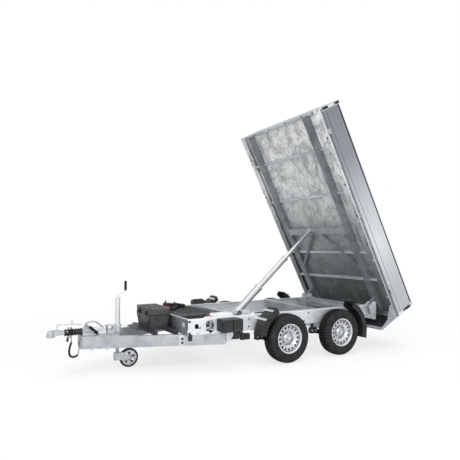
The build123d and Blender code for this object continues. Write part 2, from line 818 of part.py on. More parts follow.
# Axles: square beams seated under the frame, forged trailing arms, brake back plates and stubs
arm_inner_y = frame_half_width + 3
arm_outer_y = arm_inner_y + arm_wall
beam_z = frame_bottom_z - axle_seat - axle_tube / 2
drum_depth = 78
back_plate_y = wheel_middle_y - drum_depth - 9
with BuildPart() as axles:
    for axle_x in (axle_front_x, axle_rear_x):
        beam_x = axle_x + axle_lead
        with Locations((beam_x, 0, beam_z)):
            Box(axle_tube, 2 * arm_inner_y, axle_tube)
        for side in (-1, 1):
            with Locations((beam_x, side * (frame_half_width - flange_width / 2), frame_bottom_z - axle_seat / 2)):
                Box(2 * axle_tube, flange_width, axle_seat)
            with BuildSketch(Plane.XZ.offset(-side * (arm_inner_y + arm_wall / 2))) as arm:
                with Locations((beam_x, beam_z)):
                    Circle(axle_tube / 2 + 6)
                with Locations((axle_x, tyre_radius)):
                    Circle(stub_radius + 13)
                make_hull()
            extrude(amount=arm_wall / 2, both=True)
            with BuildSketch(Plane.XZ.offset(-side * arm_outer_y)) as back_plate:
                with Locations((axle_x, tyre_radius)):
                    Circle(drum_radius - 30)
            extrude(amount=-side * (back_plate_y - arm_outer_y), taper=-45)
            with BuildSketch(Plane.XZ.offset(-side * arm_outer_y)) as stub:
                with Locations((axle_x, tyre_radius)):
                    Circle(stub_radius)
            extrude(amount=-side * (wheel_middle_y + disc_face_y - 30 - arm_outer_y))
axles.part.label = "axles"
export_step(axles.part, "parts/axles.step")

# Wheels: a tyre of few flats around, then the rim with its vented disc, hub and drum
tyre_half = tyre_width / 2
rim_half = rim_width / 2
bead_half = rim_half - rim_wall
tyre_flats = 48
tread_half = tyre_half - 31
tyre_band_table = [
    # from the middle, on to, radius there, radius at the end, whether it is cut out
    (tread_half, tyre_half - 9, tyre_radius, tyre_radius - 22, Mode.ADD),
    (tyre_half - 9, tyre_half, tyre_radius - 22, tyre_radius - 68, Mode.ADD),
    (tyre_half, bead_half, tyre_radius - 68, flange_radius + 6, Mode.SUBTRACT),
]
with BuildPart() as tyre_pattern:
    with BuildSketch(Plane.YZ.offset(-tread_half)) as tread:
        RegularPolygon(tyre_radius, tyre_flats)
    extrude(amount=2 * tread_half)
    for side in (-1, 1):
        for start, end, radius, end_radius, mode in tyre_band_table:
            flat_drop = (radius - end_radius) * cos(pi / tyre_flats)
            with BuildSketch(Plane.YZ.offset(side * start)) as band:
                RegularPolygon(radius, tyre_flats)
            band_taper = degrees(atan2(flat_drop, abs(end - start)))
            extrude(amount=side * (end - start), taper=band_taper, mode=mode)
    with BuildSketch(Plane.YZ.offset(-tyre_half)) as bore:
        RegularPolygon(rim_radius, tyre_flats, major_radius=False)
    extrude(amount=tyre_width, mode=Mode.SUBTRACT)

disc_wall = 7
cap_reach = 24
with BuildPart() as rim_pattern:
    with BuildSketch(Plane.XY) as section:
        with BuildLine():
            Polyline(
                (-rim_half, flange_radius),
                (-rim_half, rim_radius - rim_wall),
                (disc_face_y - 14, rim_radius - rim_wall),
                (disc_face_y - 14 - disc_wall, drum_radius + 12),
                (disc_face_y - 30, drum_radius - 8),
                (-drum_depth, drum_radius - 8),
                (-drum_depth, stub_radius + bearing_gap),
                (disc_face_y - 28, stub_radius + bearing_gap),
                (disc_face_y - 28, 0),
                (disc_face_y + cap_reach, 0),
                (disc_face_y + cap_reach, hub_radius - 8),
                (disc_face_y - 22, hub_radius),
                (disc_face_y - 22, drum_radius - 16),
                (disc_face_y - 8, drum_radius + 8),
                (disc_face_y, rim_radius - rim_wall),
                (rim_half, rim_radius - rim_wall),
                (rim_half, flange_radius),
                (bead_half, flange_radius),
                (bead_half, rim_radius),
                (-bead_half, rim_radius),
                (-bead_half, flange_radius),
                close=True,
            )
        make_face()
    revolve(axis=Axis.X)
    with BuildSketch(Plane.YZ.offset(disc_face_y - 30)) as vents:
        with PolarLocations(vent_ring_radius, vent_count):
            RegularPolygon(vent_radius, 10)
    extrude(amount=40, mode=Mode.SUBTRACT)

wheel_table = [
    # place, axle, side
    ("front_left", axle_front_x, 1),
    ("front_right", axle_front_x, -1),
    ("rear_left", axle_rear_x, 1),
    ("rear_right", axle_rear_x, -1),
]
for place, axle_x, side in wheel_table:
    wheel_place = Location((axle_x, side * wheel_middle_y, tyre_radius), (0, 0, side * 90))
    tyre = tyre_pattern.part.moved(wheel_place)
    tyre.label = f"tyre_{place}"
    export_step(tyre, f"parts/tyre_{place}.step")
    rim = rim_pattern.part.moved(wheel_place)
    rim.label = f"rim_{place}"
    export_step(rim, f"parts/rim_{place}.step")

# Mudguard pieces ahead of and behind each pair of wheels, with their straps to the side members
guard_radius = tyre_radius + 150
guard_wall = 4
guard_lip = 78
guard_inner_y = frame_half_width + 42
guard_outer_y = frame_half_width + 231
guard_width = guard_outer_y - guard_inner_y
guard_table = [
    # axle, way from it, bends from the top down
    (axle_front_x, 1, [63, 45, 27, 10]),
    (axle_rear_x, -1, [63, 45, 27, 5, -15]),
]
strap_wall = 6
strap_width = 30
strap_bends = 2


def guard_point(axle_x, way, radius, turn):
    return (axle_x + way * radius * cos(radians(turn)), tyre_radius + radius * sin(radians(turn)))


with BuildPart() as mudguards:
    for axle_x, way, bends in guard_table:
        outline = [guard_point(axle_x, way, guard_radius, turn) for turn in bends]
        underside = [guard_point(axle_x, way, guard_radius - guard_wall, turn) for turn in reversed(bends)]
        lip_edge = [guard_point(axle_x, way, guard_radius - guard_lip, turn) for turn in reversed(bends)]
        for side in (-1, 1):
            with BuildSketch(Plane.XZ.offset(-side * guard_inner_y)) as sheet:
                with BuildLine():
                    Polyline(*outline, *underside, close=True)
                make_face()
            extrude(amount=-side * guard_width)
            for lip_y, inwards in ((guard_outer_y, 1), (guard_inner_y, -1)):
                with BuildSketch(Plane.XZ.offset(-side * lip_y)) as lip:
                    with BuildLine():
                        Polyline(*outline, *lip_edge, close=True)
                    make_face()
                extrude(amount=side * inwards * guard_wall)
mudguards.part.label = "mudguards"
export_step(mudguards.part, "parts/mudguards.step")

with BuildPart() as mudguard_stays:
    strap_reach = guard_outer_y - 10 - frame_half_width
    for axle_x, way, bends in guard_table:
        for upper, lower in zip(bends[:strap_bends], bends[1:]):
            flat_radius = guard_radius * cos(radians((upper - lower) / 2))
            turn = (upper + lower) / 2
            middle_x, middle_z = guard_point(axle_x, way, flat_radius + strap_wall / 2, turn)
            for side in (-1, 1):
                middle_y = side * (frame_half_width + strap_reach / 2)
                with Locations(Location((middle_x, middle_y, middle_z), (0, -way * turn, 0))):
                    Box(strap_wall, strap_reach, strap_width)
mudguard_stays.part.label = "mudguard_stays"
export_step(mudguard_stays.part, "parts/mudguard_stays.step")

# Hinge brackets at the rear ends of the side members: two tapered cheeks around a folded foot,
# with the hinge pin through both
bracket_reach = 112
bracket_outer_y = frame_half_width + bracket_reach
bracket_wall = 10
bracket_foot_z = frame_bottom_z - 10
pin_boss = 6
with BuildPart() as hinge_brackets:
    for side in (-1, 1):
        for cheek_y in (frame_half_width, bracket_outer_y - bracket_wall):
            with BuildSketch(Plane.XZ.offset(-side * cheek_y)) as cheek:
                with BuildLine():
                    Polyline(
                        (hinge_x + 110, frame_top_z),
                        (hinge_x + 40, bracket_foot_z),
                        (hinge_x - 25, bracket_foot_z),
                        (hinge_x - hinge_inset, hinge_z - 10),
                        (hinge_x - 24, hinge_z + 24),
                        (hinge_x + 24, hinge_z + 24),
                        close=True,
                    )
                make_face()
                with Locations((hinge_x + 20, frame_bottom_z + 60)):
                    SlotOverall(64, 20, rotation=72, mode=Mode.SUBTRACT)
            extrude(amount=-side * bracket_wall)
        with BuildSketch(Plane.XZ.offset(-side * (frame_half_width + bracket_wall))) as foot:
            with BuildLine() as fold:
                FilletPolyline(
                    (hinge_x + 52, frame_bottom_z + 60),
                    (hinge_x + 36, bracket_foot_z + 4),
                    (hinge_x - 20, bracket_foot_z + 4),
                    (hinge_x - 24, frame_bottom_z + 60),
                    radius=12,
                )
            trace(fold.line, line_width=8)
        extrude(amount=-side * (bracket_reach - 2 * bracket_wall))
        for boss_y in (frame_half_width + bracket_wall, bracket_outer_y):
            with BuildSketch(Plane.XZ.offset(-side * boss_y)) as boss:
                with Locations((hinge_x, hinge_z)):
                    Circle(hinge_pin_radius + 10)
            extrude(amount=-side * pin_boss)
        with BuildSketch(Plane.XZ.offset(-side * frame_half_width)) as pin:
            with Locations((hinge_x, hinge_z)):
                Circle(hinge_pin_radius)
        extrude(amount=-side * (bracket_reach + 2 * pin_boss))
hinge_brackets.part.label = "hinge_brackets"
export_step(hinge_brackets.part, "parts/hinge_brackets.step")

# Cradle of the tipping cylinder: two upright plates between the low member and the one ahead
cradle_gap_half = 75
cradle_wall = 12
cradle_top_z = gimbal_z + 48
cradle_front_x = cradle_member_x - cradle_member_flange
cradle_rear_x = gimbal_x - 195
trunnion_radius = 22
boss_reach = 8
with BuildPart() as cylinder_cradle:
    for side in (-1, 1):
        with BuildSketch(Plane.XZ.offset(-side * cradle_gap_half)) as plate:
            with BuildLine():
                Polyline(
                    (cradle_rear_x, cradle_bottom_z),
                    (cradle_rear_x, cradle_top_z - 44),
                    (cradle_rear_x + 26, cradle_top_z),
                    (gimbal_x + 60, cradle_top_z),
                    (cradle_front_x - 80, cradle_bottom_z + 72),
                    (cradle_front_x, cradle_bottom_z + 72),
                    (cradle_front_x, cradle_bottom_z),
                    close=True,
                )
            make_face()
            with Locations((gimbal_x + 160, cradle_bottom_z + 40)):
                SlotOverall(120, 36, mode=Mode.SUBTRACT)
        extrude(amount=-side * cradle_wall)
        with BuildSketch(Plane.XZ.offset(-side * (cradle_gap_half + cradle_wall))) as boss:
            with Locations((gimbal_x, gimbal_z)):
                Circle(trunnion_radius + 16)
        extrude(amount=-side * boss_reach)
    with BuildSketch(Plane.XZ) as bores:
        with Locations((gimbal_x, gimbal_z)):
            Circle(trunnion_radius + bearing_gap)
    extrude(amount=cradle_gap_half + cradle_wall + boss_reach, both=True, mode=Mode.SUBTRACT)
cylinder_cradle.part.label = "cylinder_cradle"
export_step(cylinder_cradle.part, "parts/cylinder_cradle.step")

# Tipping cylinder along its own axis, from the gimbal to the eye under the bed
eye_x = bed_rear_x + eye_ahead * tip_cos + eye_below * tip_sin
eye_z = bed_rear_z + eye_ahead * tip_sin - eye_below * tip_cos
cylinder_length = hypot(eye_x - gimbal_x, eye_z - gimbal_z)
cylinder_dir = ((eye_x - gimbal_x) / cylinder_length, 0, (eye_z - gimbal_z) / cylinder_length)
stage_reach = (cylinder_length - barrel_above) / 2
gimbal_plane = Plane(origin=(gimbal_x, 0, gimbal_z), x_dir=(0, 1, 0), z_dir=cylinder_dir)
stage_inside = 180
gland_length = 36
gland_wall = 6
with BuildPart() as cylinder_barrel:
    with BuildSketch(gimbal_plane.offset(-barrel_below)) as section:
        Circle(barrel_radius)
    extrude(amount=barrel_below + barrel_above)
    with BuildSketch(gimbal_plane.offset(barrel_above - gland_length)) as gland:
        Circle(barrel_radius + gland_wall)
    extrude(amount=gland_length)
    with BuildSketch(gimbal_plane.offset(-50)) as collar:
        Circle(cradle_gap_half - 6)
    extrude(amount=100)
    for side in (-1, 1):
        with BuildSketch(Plane.XZ.offset(-side * barrel_radius)) as trunnion:
            with Locations((gimbal_x, gimbal_z)):
                Circle(trunnion_radius)
        extrude(amount=-side * (cradle_gap_half + cradle_wall + boss_reach + 5 - barrel_radius))
    with BuildSketch(gimbal_plane.offset(-barrel_below + 20)) as bore:
        Circle(stage_2_radius + slide_gap)
    extrude(amount=barrel_below + barrel_above, mode=Mode.SUBTRACT)
cylinder_barrel.part.label = "cylinder_barrel"
export_step(cylinder_barrel.part, "parts/cylinder_barrel.step")

stage_2_top = barrel_above + stage_reach
with BuildPart() as cylinder_stage_2:
    with BuildSketch(gimbal_plane.offset(barrel_above - stage_inside)) as section:
        Circle(stage_2_radius)
    extrude(amount=stage_inside + stage_reach)
    with BuildSketch(gimbal_plane.offset(stage_2_top - gland_length)) as gland:
        Circle(stage_2_radius + gland_wall)
    extrude(amount=gland_length)
    with BuildSketch(gimbal_plane.offset(barrel_above - stage_inside)) as bore:
        Circle(stage_3_radius + slide_gap)
    extrude(amount=stage_inside + stage_reach, mode=Mode.SUBTRACT)
cylinder_stage_2.part.label = "cylinder_stage_2"
export_step(cylinder_stage_2.part, "parts/cylinder_stage_2.step")

with BuildPart() as cylinder_stage_3:
    with BuildSketch(gimbal_plane.offset(stage_2_top - stage_inside)) as section:
        Circle(stage_3_radius)
    extrude(amount=stage_inside + stage_reach)
    with BuildSketch(Plane.XZ) as eye:
        with Locations((eye_x, eye_z)):
            Circle(eye_radius)
    extrude(amount=lug_gap_half - 5, both=True)
cylinder_stage_3.part.label = "cylinder_stage_3"
export_step(cylinder_stage_3.part, "parts/cylinder_stage_3.step")

# Bed floor, inside a frame of the side rails, the front sill and the rear edge
floor_inset = post_depth + panel_gap
floor_half_width = bed_half_width - side_wall - panel_gap
with BuildPart() as bed_floor:
    with Locations((bed_length / 2, 0, rail_height - floor_wall / 2)):
        Box(bed_length - 2 * floor_inset, 2 * floor_half_width, floor_wall)
bed_floor.part.label = "bed_floor"
export_step(bed_floor.part.moved(bed_place), "parts/bed_floor.step")

# Side rails: folded sections under the floor's edges, with lash holes and the dropsides' knuckles
dropside_axis_y = bed_half_width + 9
dropside_axis_z = rail_height
knuckle_radius = 8
knuckle_length = 70
dropside_hinges = [430, bed_length / 2 + 36, bed_length - 344]
lash_hole_table = [558, 0.372 * bed_length, 0.512 * bed_length, 0.658 * bed_length, bed_length - 425]
lash_hole_inset = 96
rail_fold = 6
with BuildPart() as side_rails:
    for side in (-1, 1):
        with BuildSketch(Plane.YZ) as section:
            with BuildLine() as fold:
                FilletPolyline(
                    (side * (bed_half_width - rail_width), rail_wall / 2),
                    (side * (bed_half_width - rail_wall / 2), rail_wall / 2),
                    (side * (bed_half_width - rail_wall / 2), rail_height - rail_wall / 2),
                    (side * floor_half_width, rail_height - rail_wall / 2),
                    radius=rail_fold,
                )
            trace(fold.line, line_width=rail_wall)
        extrude(amount=bed_length)
        for hinge in dropside_hinges:
            with BuildSketch(Plane.YZ.offset(hinge - knuckle_length / 2)) as knuckle:
                with Locations((side * dropside_axis_y, dropside_axis_z)):
                    Circle(knuckle_radius)
                with Locations((side * (bed_half_width + 2), dropside_axis_z - 18)):
                    Rectangle(4, 28)
            extrude(amount=knuckle_length)
        with BuildSketch(Plane.XY) as lash_holes:
            with Locations(*[(ahead, side * (bed_half_width - lash_hole_inset + 50)) for ahead in lash_hole_table]):
                SlotOverall(44, 20)
        extrude(amount=rail_wall, mode=Mode.SUBTRACT)
side_rails.part.label = "side_rails"
export_step(side_rails.part.moved(bed_place), "parts/side_rails.step")

# Longitudinals: open-ended box sections that carry the hinge lugs
lug_wall = 60
sill_flange = 40
lug_y = frame_half_width + bracket_reach / 2
longitudinal_rear = 80
longitudinal_depth = floor_under + longitudinal_drop
with BuildPart() as bed_longitudinals:
    for side in (-1, 1):
        with BuildSketch(Plane.YZ.offset(longitudinal_rear)) as section:
            with Locations((side * (longitudinal_y + longitudinal_width / 2), (floor_under - longitudinal_drop) / 2)):
                Rectangle(longitudinal_width, longitudinal_depth)
                Rectangle(
                    longitudinal_width - 2 * longitudinal_wall,
                    longitudinal_depth - 2 * longitudinal_wall,
                    mode=Mode.SUBTRACT,
                )
        extrude(amount=bed_length - longitudinal_rear - sill_flange)
        with BuildSketch(Plane.XZ.offset(-side * lug_y)) as lug:
            with BuildLine():
                Polyline(
                    (hinge_ahead - 62, -longitudinal_drop),
                    (hinge_ahead - 28, -hinge_below),
                    (hinge_ahead + 28, -hinge_below),
                    (hinge_ahead + 62, -longitudinal_drop),
                    close=True,
                )
            make_face()
            with Locations((hinge_ahead, -hinge_below)):
                Circle(28)
                Circle(hinge_pin_radius + bearing_gap, mode=Mode.SUBTRACT)
        extrude(amount=lug_wall / 2, both=True)
bed_longitudinals.part.label = "bed_longitudinals"
export_step(bed_longitudinals.part.moved(bed_place), "parts/bed_longitudinals.step")

# Bed cross-members: channels open to the floor, between the longitudinals and outside them
member_shares = [0.19, 0.33, 0.625, 0.832]
member_width = 36
member_wall = 3
rail_inner_y = bed_half_width - rail_wall
outer_reach = rail_inner_y - rail_fold - longitudinal_outer_y
outer_middle_y = longitudinal_outer_y + outer_reach / 2
with BuildPart() as bed_cross_members:
    for share in member_shares:
        ahead = share * bed_length
        with Locations((ahead, 0, floor_under / 2)):
            Box(member_width, 2 * longitudinal_y, floor_under)
        with Locations((ahead, 0, (floor_under + member_wall) / 2)):
            Box(member_width - 2 * member_wall, 2 * longitudinal_y, floor_under - member_wall, mode=Mode.SUBTRACT)
        for side in (-1, 1):
            with Locations((ahead, side * outer_middle_y, (floor_under + rail_wall) / 2)):
                Box(member_width, outer_reach, floor_under - rail_wall)
    with Locations((bed_length - floor_inset / 2, 0, rail_height - floor_wall / 2)):
        Box(floor_inset, 2 * floor_half_width, floor_wall)
    with BuildSketch(Plane.XZ.offset(rail_width - bed_half_width)) as sill:
        with BuildLine() as fold:
            FilletPolyline(
                (bed_length - floor_wall / 2, rail_height - floor_wall / 2),
                (bed_length - floor_wall / 2, floor_wall / 2),
                (bed_length - sill_flange, floor_wall / 2),
                radius=rail_fold,
            )
        trace(fold.line, line_width=floor_wall)
    extrude(amount=2 * (bed_half_width - rail_width))
bed_cross_members.part.label = "bed_cross_members"
export_step(bed_cross_members.part.moved(bed_place), "parts/bed_cross_members.step")

# Main member with the two lugs that flank the cylinder's eye, and the two braces behind it
lug_plate = 16
lug_boss = 10
brace_end_ahead = main_member_ahead - 580
brace_depth = 24
with BuildPart() as bed_main_member:
    with Locations((main_member_ahead + main_member_width / 2, 0, (floor_under - main_member_drop) / 2)):
        Box(main_member_width, 2 * longitudinal_y, floor_under + main_member_drop)
    for side in (-1, 1):
        with BuildSketch(Plane.XZ.offset(-side * lug_gap_half)) as lug:
            with BuildLine():
                Polyline(
                    (main_member_ahead, -main_member_drop),
                    (main_member_ahead + main_member_width, -main_member_drop),
                    (eye_ahead + 36, -eye_below),
                    (eye_ahead - 24, -eye_below - 24),
                    close=True,
                )
            make_face()
            with Locations((eye_ahead, -eye_below)):
                Circle(36)
        extrude(amount=-side * lug_plate)
        with BuildSketch(Plane.XZ.offset(-side * (lug_gap_half + lug_plate))) as boss:
            with Locations((eye_ahead, -eye_below)):
                Circle(22)
        extrude(amount=-side * lug_boss)
bed_main_member.part.label = "bed_main_member"
export_step(bed_main_member.part.moved(bed_place), "parts/bed_main_member.step")

with BuildPart() as bed_braces:
    for side in (-1, 1):
        with BuildSketch(Plane.XY) as brace:
            with BuildLine():
                Polyline(
                    (main_member_ahead, side * 80),
                    (main_member_ahead, side * 130),
                    (brace_end_ahead, side * longitudinal_y),
                    (brace_end_ahead - 50, side * longitudinal_y),
                    close=True,
                )
            make_face()
        extrude(amount=-brace_depth)
bed_braces.part.label = "bed_braces"
export_step(bed_braces.part.moved(bed_place), "parts/bed_braces.step")

# Rear skirt below the floor: a plate with its bottom tube and a gusset at each end
skirt_wall = 5
skirt_half_width = bed_half_width - rail_wall
skirt_tube_radius = 21
with BuildPart() as rear_skirt:
    with Locations((skirt_wall / 2, 0, -(skirt_drop - skirt_tube_radius) / 2)):
        Box(skirt_wall, 2 * skirt_half_width, skirt_drop - skirt_tube_radius)
    with Locations((skirt_wall / 2, 0, floor_under / 2)):
        Box(skirt_wall, 2 * (bed_half_width - rail_width), floor_under)
    with Locations((floor_inset / 2, 0, rail_height - floor_wall / 2)):
        Box(floor_inset, 2 * floor_half_width, floor_wall)
    with BuildSketch(Plane.XZ) as tube:
        with Locations((skirt_tube_radius, skirt_tube_radius - skirt_drop)):
            Circle(skirt_tube_radius)
    extrude(amount=skirt_half_width, both=True)
    for side in (-1, 1):
        with BuildSketch(Plane.XZ.offset(-side * skirt_half_width)) as gusset:
            with BuildLine():
                Polyline(
                    (0, 0),
                    (235, 0),
                    (235, -59),
                    (74, -193),
                    (42, 60 - skirt_drop),
                    (42, skirt_tube_radius - skirt_drop),
                    (0, skirt_tube_radius - skirt_drop),
                    close=True,
                )
            make_face()
        extrude(amount=side * 4)
rear_skirt.part.label = "rear_skirt"
export_step(rear_skirt.part.moved(bed_place), "parts/rear_skirt.step")

# Rear lamps: two moulded housings on the skirt's rear face
lamp_length = 320
lamp_height = 120
lamp_depth = 40
lamp_inset = 220
with BuildPart() as rear_lamps:
    for side in (-1, 1):
        with BuildSketch(Plane.YZ) as lamp:
            with Locations((side * (bed_half_width - lamp_inset), -skirt_drop / 2)):
                RectangleRounded(lamp_length, lamp_height, 16)
        extrude(amount=-lamp_depth, taper=8)
rear_lamps.part.label = "rear_lamps"
export_step(rear_lamps.part.moved(bed_place), "parts/rear_lamps.step")

# Corner posts, the rear ones bored for the tailgate's pins, and headboard
wall_top = rail_height + side_height + 12
post_inner_y = bed_half_width - post_width
post_chamfer = 8
tailgate_axis_a = 20
tailgate_axis_b = rail_height + side_height - 14
tailgate_pin_radius = 9
tailgate_pin_end = bed_half_width - 10
with BuildPart() as corner_posts:
    for ahead in (post_depth / 2, bed_length - post_depth / 2):
        for side in (-1, 1):
            with BuildSketch(Plane.XY.offset(rail_height)) as section:
                with Locations((ahead, side * (bed_half_width - post_width / 2))):
                    Rectangle(post_depth, post_width)
                chamfer(section.vertices(), length=5)
            extrude(amount=wall_top - rail_height)
    chamfer(corner_posts.faces().group_by(Axis.Z)[-1].edges(), length=post_chamfer)
    with BuildSketch(Plane.XZ) as bores:
        with Locations((tailgate_axis_a, tailgate_axis_b)):
            Circle(tailgate_pin_radius + bearing_gap)
    extrude(amount=tailgate_pin_end + slide_gap, both=True, mode=Mode.SUBTRACT)
corner_posts.part.label = "corner_posts"
export_step(corner_posts.part.moved(bed_place), "parts/corner_posts.step")

# Latches on the posts' outer faces: a plate, a hook over the dropside's end and a lever
latch_table = [
    # ahead, above, way to the dropside
    (bed_length - post_depth / 2, rail_height + side_height - 46, -1),
    (post_depth / 2, rail_height + side_height - 96, 1),
]
latch_depth = 16
with BuildPart() as side_latches:
    for ahead, above, way in latch_table:
        for side in (-1, 1):
            with BuildSketch(Plane.XZ.offset(-side * bed_half_width)) as latch:
                with Locations((ahead, above)):
                    RectangleRounded(30, 64, 8)
            extrude(amount=-side * latch_depth)
            with BuildSketch(Plane.XZ.offset(-side * (bed_half_width + latch_depth))) as lever:
                with BuildLine():
                    Polyline(
                        (ahead - way * 10, above + 26),
                        (ahead + way * 14, above + 26),
                        (ahead - way * 4, above - 60),
                        (ahead - way * 18, above - 56),
                        close=True,
                    )
                make_face()
            extrude(amount=-side * 8)
side_latches.part.label = "side_latches"
export_step(side_latches.part.moved(bed_place), "parts/side_latches.step")

# Panels of one grooved profile: a beaded top, a groove below it and shallow grooves further down
panel_bottom = rail_height + panel_gap
panel_top = rail_height + side_height
groove_depth = 2
groove_table = [
    # above the panel's bottom, width
    (62, 5),
    (148, 5),
    (234, 5),
    (316, 9),
]


def grooved_section(outer_y):
    with BuildSketch(Plane.YZ) as section:
        with Locations((outer_y - side_wall / 2, (panel_bottom + panel_top) / 2)):
            Rectangle(side_wall, panel_top - panel_bottom)
        chamfer(section.vertices().group_by(Axis.Y)[-1], length=6)
        for above, width in groove_table:
            with Locations((outer_y, panel_bottom + above)):
                Rectangle(2 * groove_depth, width, mode=Mode.SUBTRACT)
    return section.sketch


with BuildPart() as headboard:
    front_profile = grooved_section(0).moved(Location((bed_length, post_inner_y, 0), (0, 0, -90)))
    extrude(front_profile, amount=2 * post_inner_y)
headboard.part.label = "headboard"
export_step(headboard.part.moved(bed_place), "parts/headboard.step")

# Dropsides, with knuckles between those of the rails
dropside_from = post_depth + panel_gap
with BuildPart() as dropside_left:
    side_profile = grooved_section(bed_half_width).moved(Location((dropside_from, 0, 0)))
    extrude(side_profile, amount=bed_length - 2 * dropside_from)
    for hinge in dropside_hinges:
        for way in (-1, 1):
            with BuildSketch(Plane.YZ.offset(hinge + way * (knuckle_length / 2 + slide_gap))) as knuckle:
                with Locations((dropside_axis_y, dropside_axis_z)):
                    Circle(knuckle_radius)
                with Locations((bed_half_width + 2, dropside_axis_z + slide_gap + 19)):
                    Rectangle(4, 38)
            extrude(amount=way * 30)
dropside_left.part.label = "dropside_left"
export_step(dropside_left.part.moved(bed_place), "parts/dropside_left.step")

with BuildPart() as dropside_right:
    mirror(dropside_left.part, about=Plane.XZ)
dropside_right.part.label = "dropside_right"
export_step(dropside_right.part.moved(bed_place), "parts/dropside_right.step")

# Tailgate, hung from two pins at its top corners
with BuildPart() as tailgate:
    rear_profile = grooved_section(0).moved(
        Location((tailgate_axis_a - side_wall / 2, panel_gap - post_inner_y, 0), (0, 0, 90))
    )
    extrude(rear_profile, amount=2 * (post_inner_y - panel_gap))
    with BuildSketch(Plane.XZ) as pins:
        with Locations((tailgate_axis_a, tailgate_axis_b)):
            Circle(tailgate_pin_radius)
    extrude(amount=tailgate_pin_end, both=True)
tailgate.part.label = "tailgate"
export_step(tailgate.part.moved(bed_place), "parts/tailgate.step")

print("bed rear edge", round(bed_rear_x, 2), round(bed_rear_z, 2))
print("eye", round(eye_x, 2), round(eye_z, 2), "length", round(cylinder_length, 2))
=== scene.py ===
import json
import math

import bmesh
import bpy
from mathutils import Matrix, Vector


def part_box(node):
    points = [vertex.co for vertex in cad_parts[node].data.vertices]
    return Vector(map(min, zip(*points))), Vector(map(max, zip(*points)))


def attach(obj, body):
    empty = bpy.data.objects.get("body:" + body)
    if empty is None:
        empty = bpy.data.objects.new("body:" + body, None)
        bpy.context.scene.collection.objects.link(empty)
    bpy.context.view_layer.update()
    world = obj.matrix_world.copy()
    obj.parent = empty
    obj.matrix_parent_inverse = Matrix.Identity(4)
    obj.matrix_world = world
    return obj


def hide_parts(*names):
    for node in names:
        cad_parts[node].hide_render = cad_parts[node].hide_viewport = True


# Tipper trailer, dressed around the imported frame. Metres, +X to the coupling, +Y left, +Z up.
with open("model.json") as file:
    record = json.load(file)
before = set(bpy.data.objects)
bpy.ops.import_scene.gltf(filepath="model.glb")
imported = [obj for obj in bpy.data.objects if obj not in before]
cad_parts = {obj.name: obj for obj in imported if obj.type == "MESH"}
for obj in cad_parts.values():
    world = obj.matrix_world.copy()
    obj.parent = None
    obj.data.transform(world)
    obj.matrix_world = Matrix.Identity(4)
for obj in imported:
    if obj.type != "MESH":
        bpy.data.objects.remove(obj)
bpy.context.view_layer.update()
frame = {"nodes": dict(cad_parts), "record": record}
nodes = frame["nodes"]

# The photograph's camera: a solved place, heading and lens, for the 460 x 460 frame
camera_place = Vector((3.475, 5.888, 1.543))
heading = math.radians(29.959)
pitch = math.radians(-2.087)
focal_share = 463.711 / 460


def add_object(name, data):
    made = bpy.data.objects.new(name, data)
    bpy.context.scene.collection.objects.link(made)
    return made


def make_camera():
    forward = Vector((
        -math.sin(heading) * math.cos(pitch), -math.cos(heading) * math.cos(pitch), -math.sin(pitch)
    ))
    data = bpy.data.cameras.new("photo_camera")
    data.sensor_width = 36
    data.lens = 36 * focal_share
    camera = add_object("photo_camera", data)
    camera.location = camera_place
    camera.rotation_euler = forward.to_track_quat("-Z", "Y").to_euler()
    bpy.context.scene.camera = camera


make_camera()
bpy.context.scene.view_settings.view_transform = "Standard"


# Connection cable, in mm: out of the gland under the nose and round the bellows
cable_route = [
    (2222, 30, 400), (2222, 30, 325), (2226, 32, 246), (2260, 35, 212), (2308, 40, 212), (2342, 46, 246),
    (2340, 50, 332), (2314, 54, 402), (2304, -58, 447), (2308, -58, 563), (2314, 58, 563), (2320, 58, 447),
    (2328, -58, 447), (2336, -58, 563), (2350, 58, 563), (2362, 66, 462),
]
# The corrugated sleeve over the lower part of its hanging loop
sleeve_route = [
    (2238, 33.5, 233), (2260, 35, 212), (2308, 40, 212), (2342, 46, 246), (2340, 50, 332), (2318, 53.5, 393),
]


def curve_piece(name, points, radius):
    """A round line along points in mm, its radius in metres."""
    curve = bpy.data.curves.new(name, "CURVE")
    curve.dimensions = "3D"
    curve.bevel_depth = 1.0
    curve.bevel_resolution = 5
    curve.use_fill_caps = True
    spline = curve.splines.new("NURBS")
    spline.points.add(len(points) - 1)
    for point, place in zip(spline.points, points):
        point.co = (*(part / 1000 for part in place), 1)
        point.radius = radius
    spline.order_u = 3
    spline.use_endpoint_u = True
    spline.resolution_u = 16
    return add_object(name, curve)


cable_piece = curve_piece("connection_cable", cable_route, 0.0045)
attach(cable_piece, "chassis")
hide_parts("cable")
conduit = curve_piece("cable_conduit", sleeve_route, 0.0125)
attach(conduit, "chassis")


# Materials

# The bed's own axes at rest are turned about Y; its ramps of painted light and shade run between two places
# along them
tip_angle = math.radians(63)
bed_turn = (0, -tip_angle, 0)
tone_reach = (-2.3, 3.3)


def feed(tree, node, values):
    """Links or sets a node's inputs, given by name or number."""
    for key, value in values.items():
        if isinstance(value, bpy.types.NodeSocket):
            tree.links.new(value, node.inputs[key])
        else:
            node.inputs[key].default_value = value


def add_node(tree, kind, output, inputs, **settings):
    """Makes a node and gives one of its outputs."""
    node = tree.nodes.new(kind)
    for key, value in settings.items():
        setattr(node, key, value)
    feed(tree, node, inputs)
    return node.outputs[output]


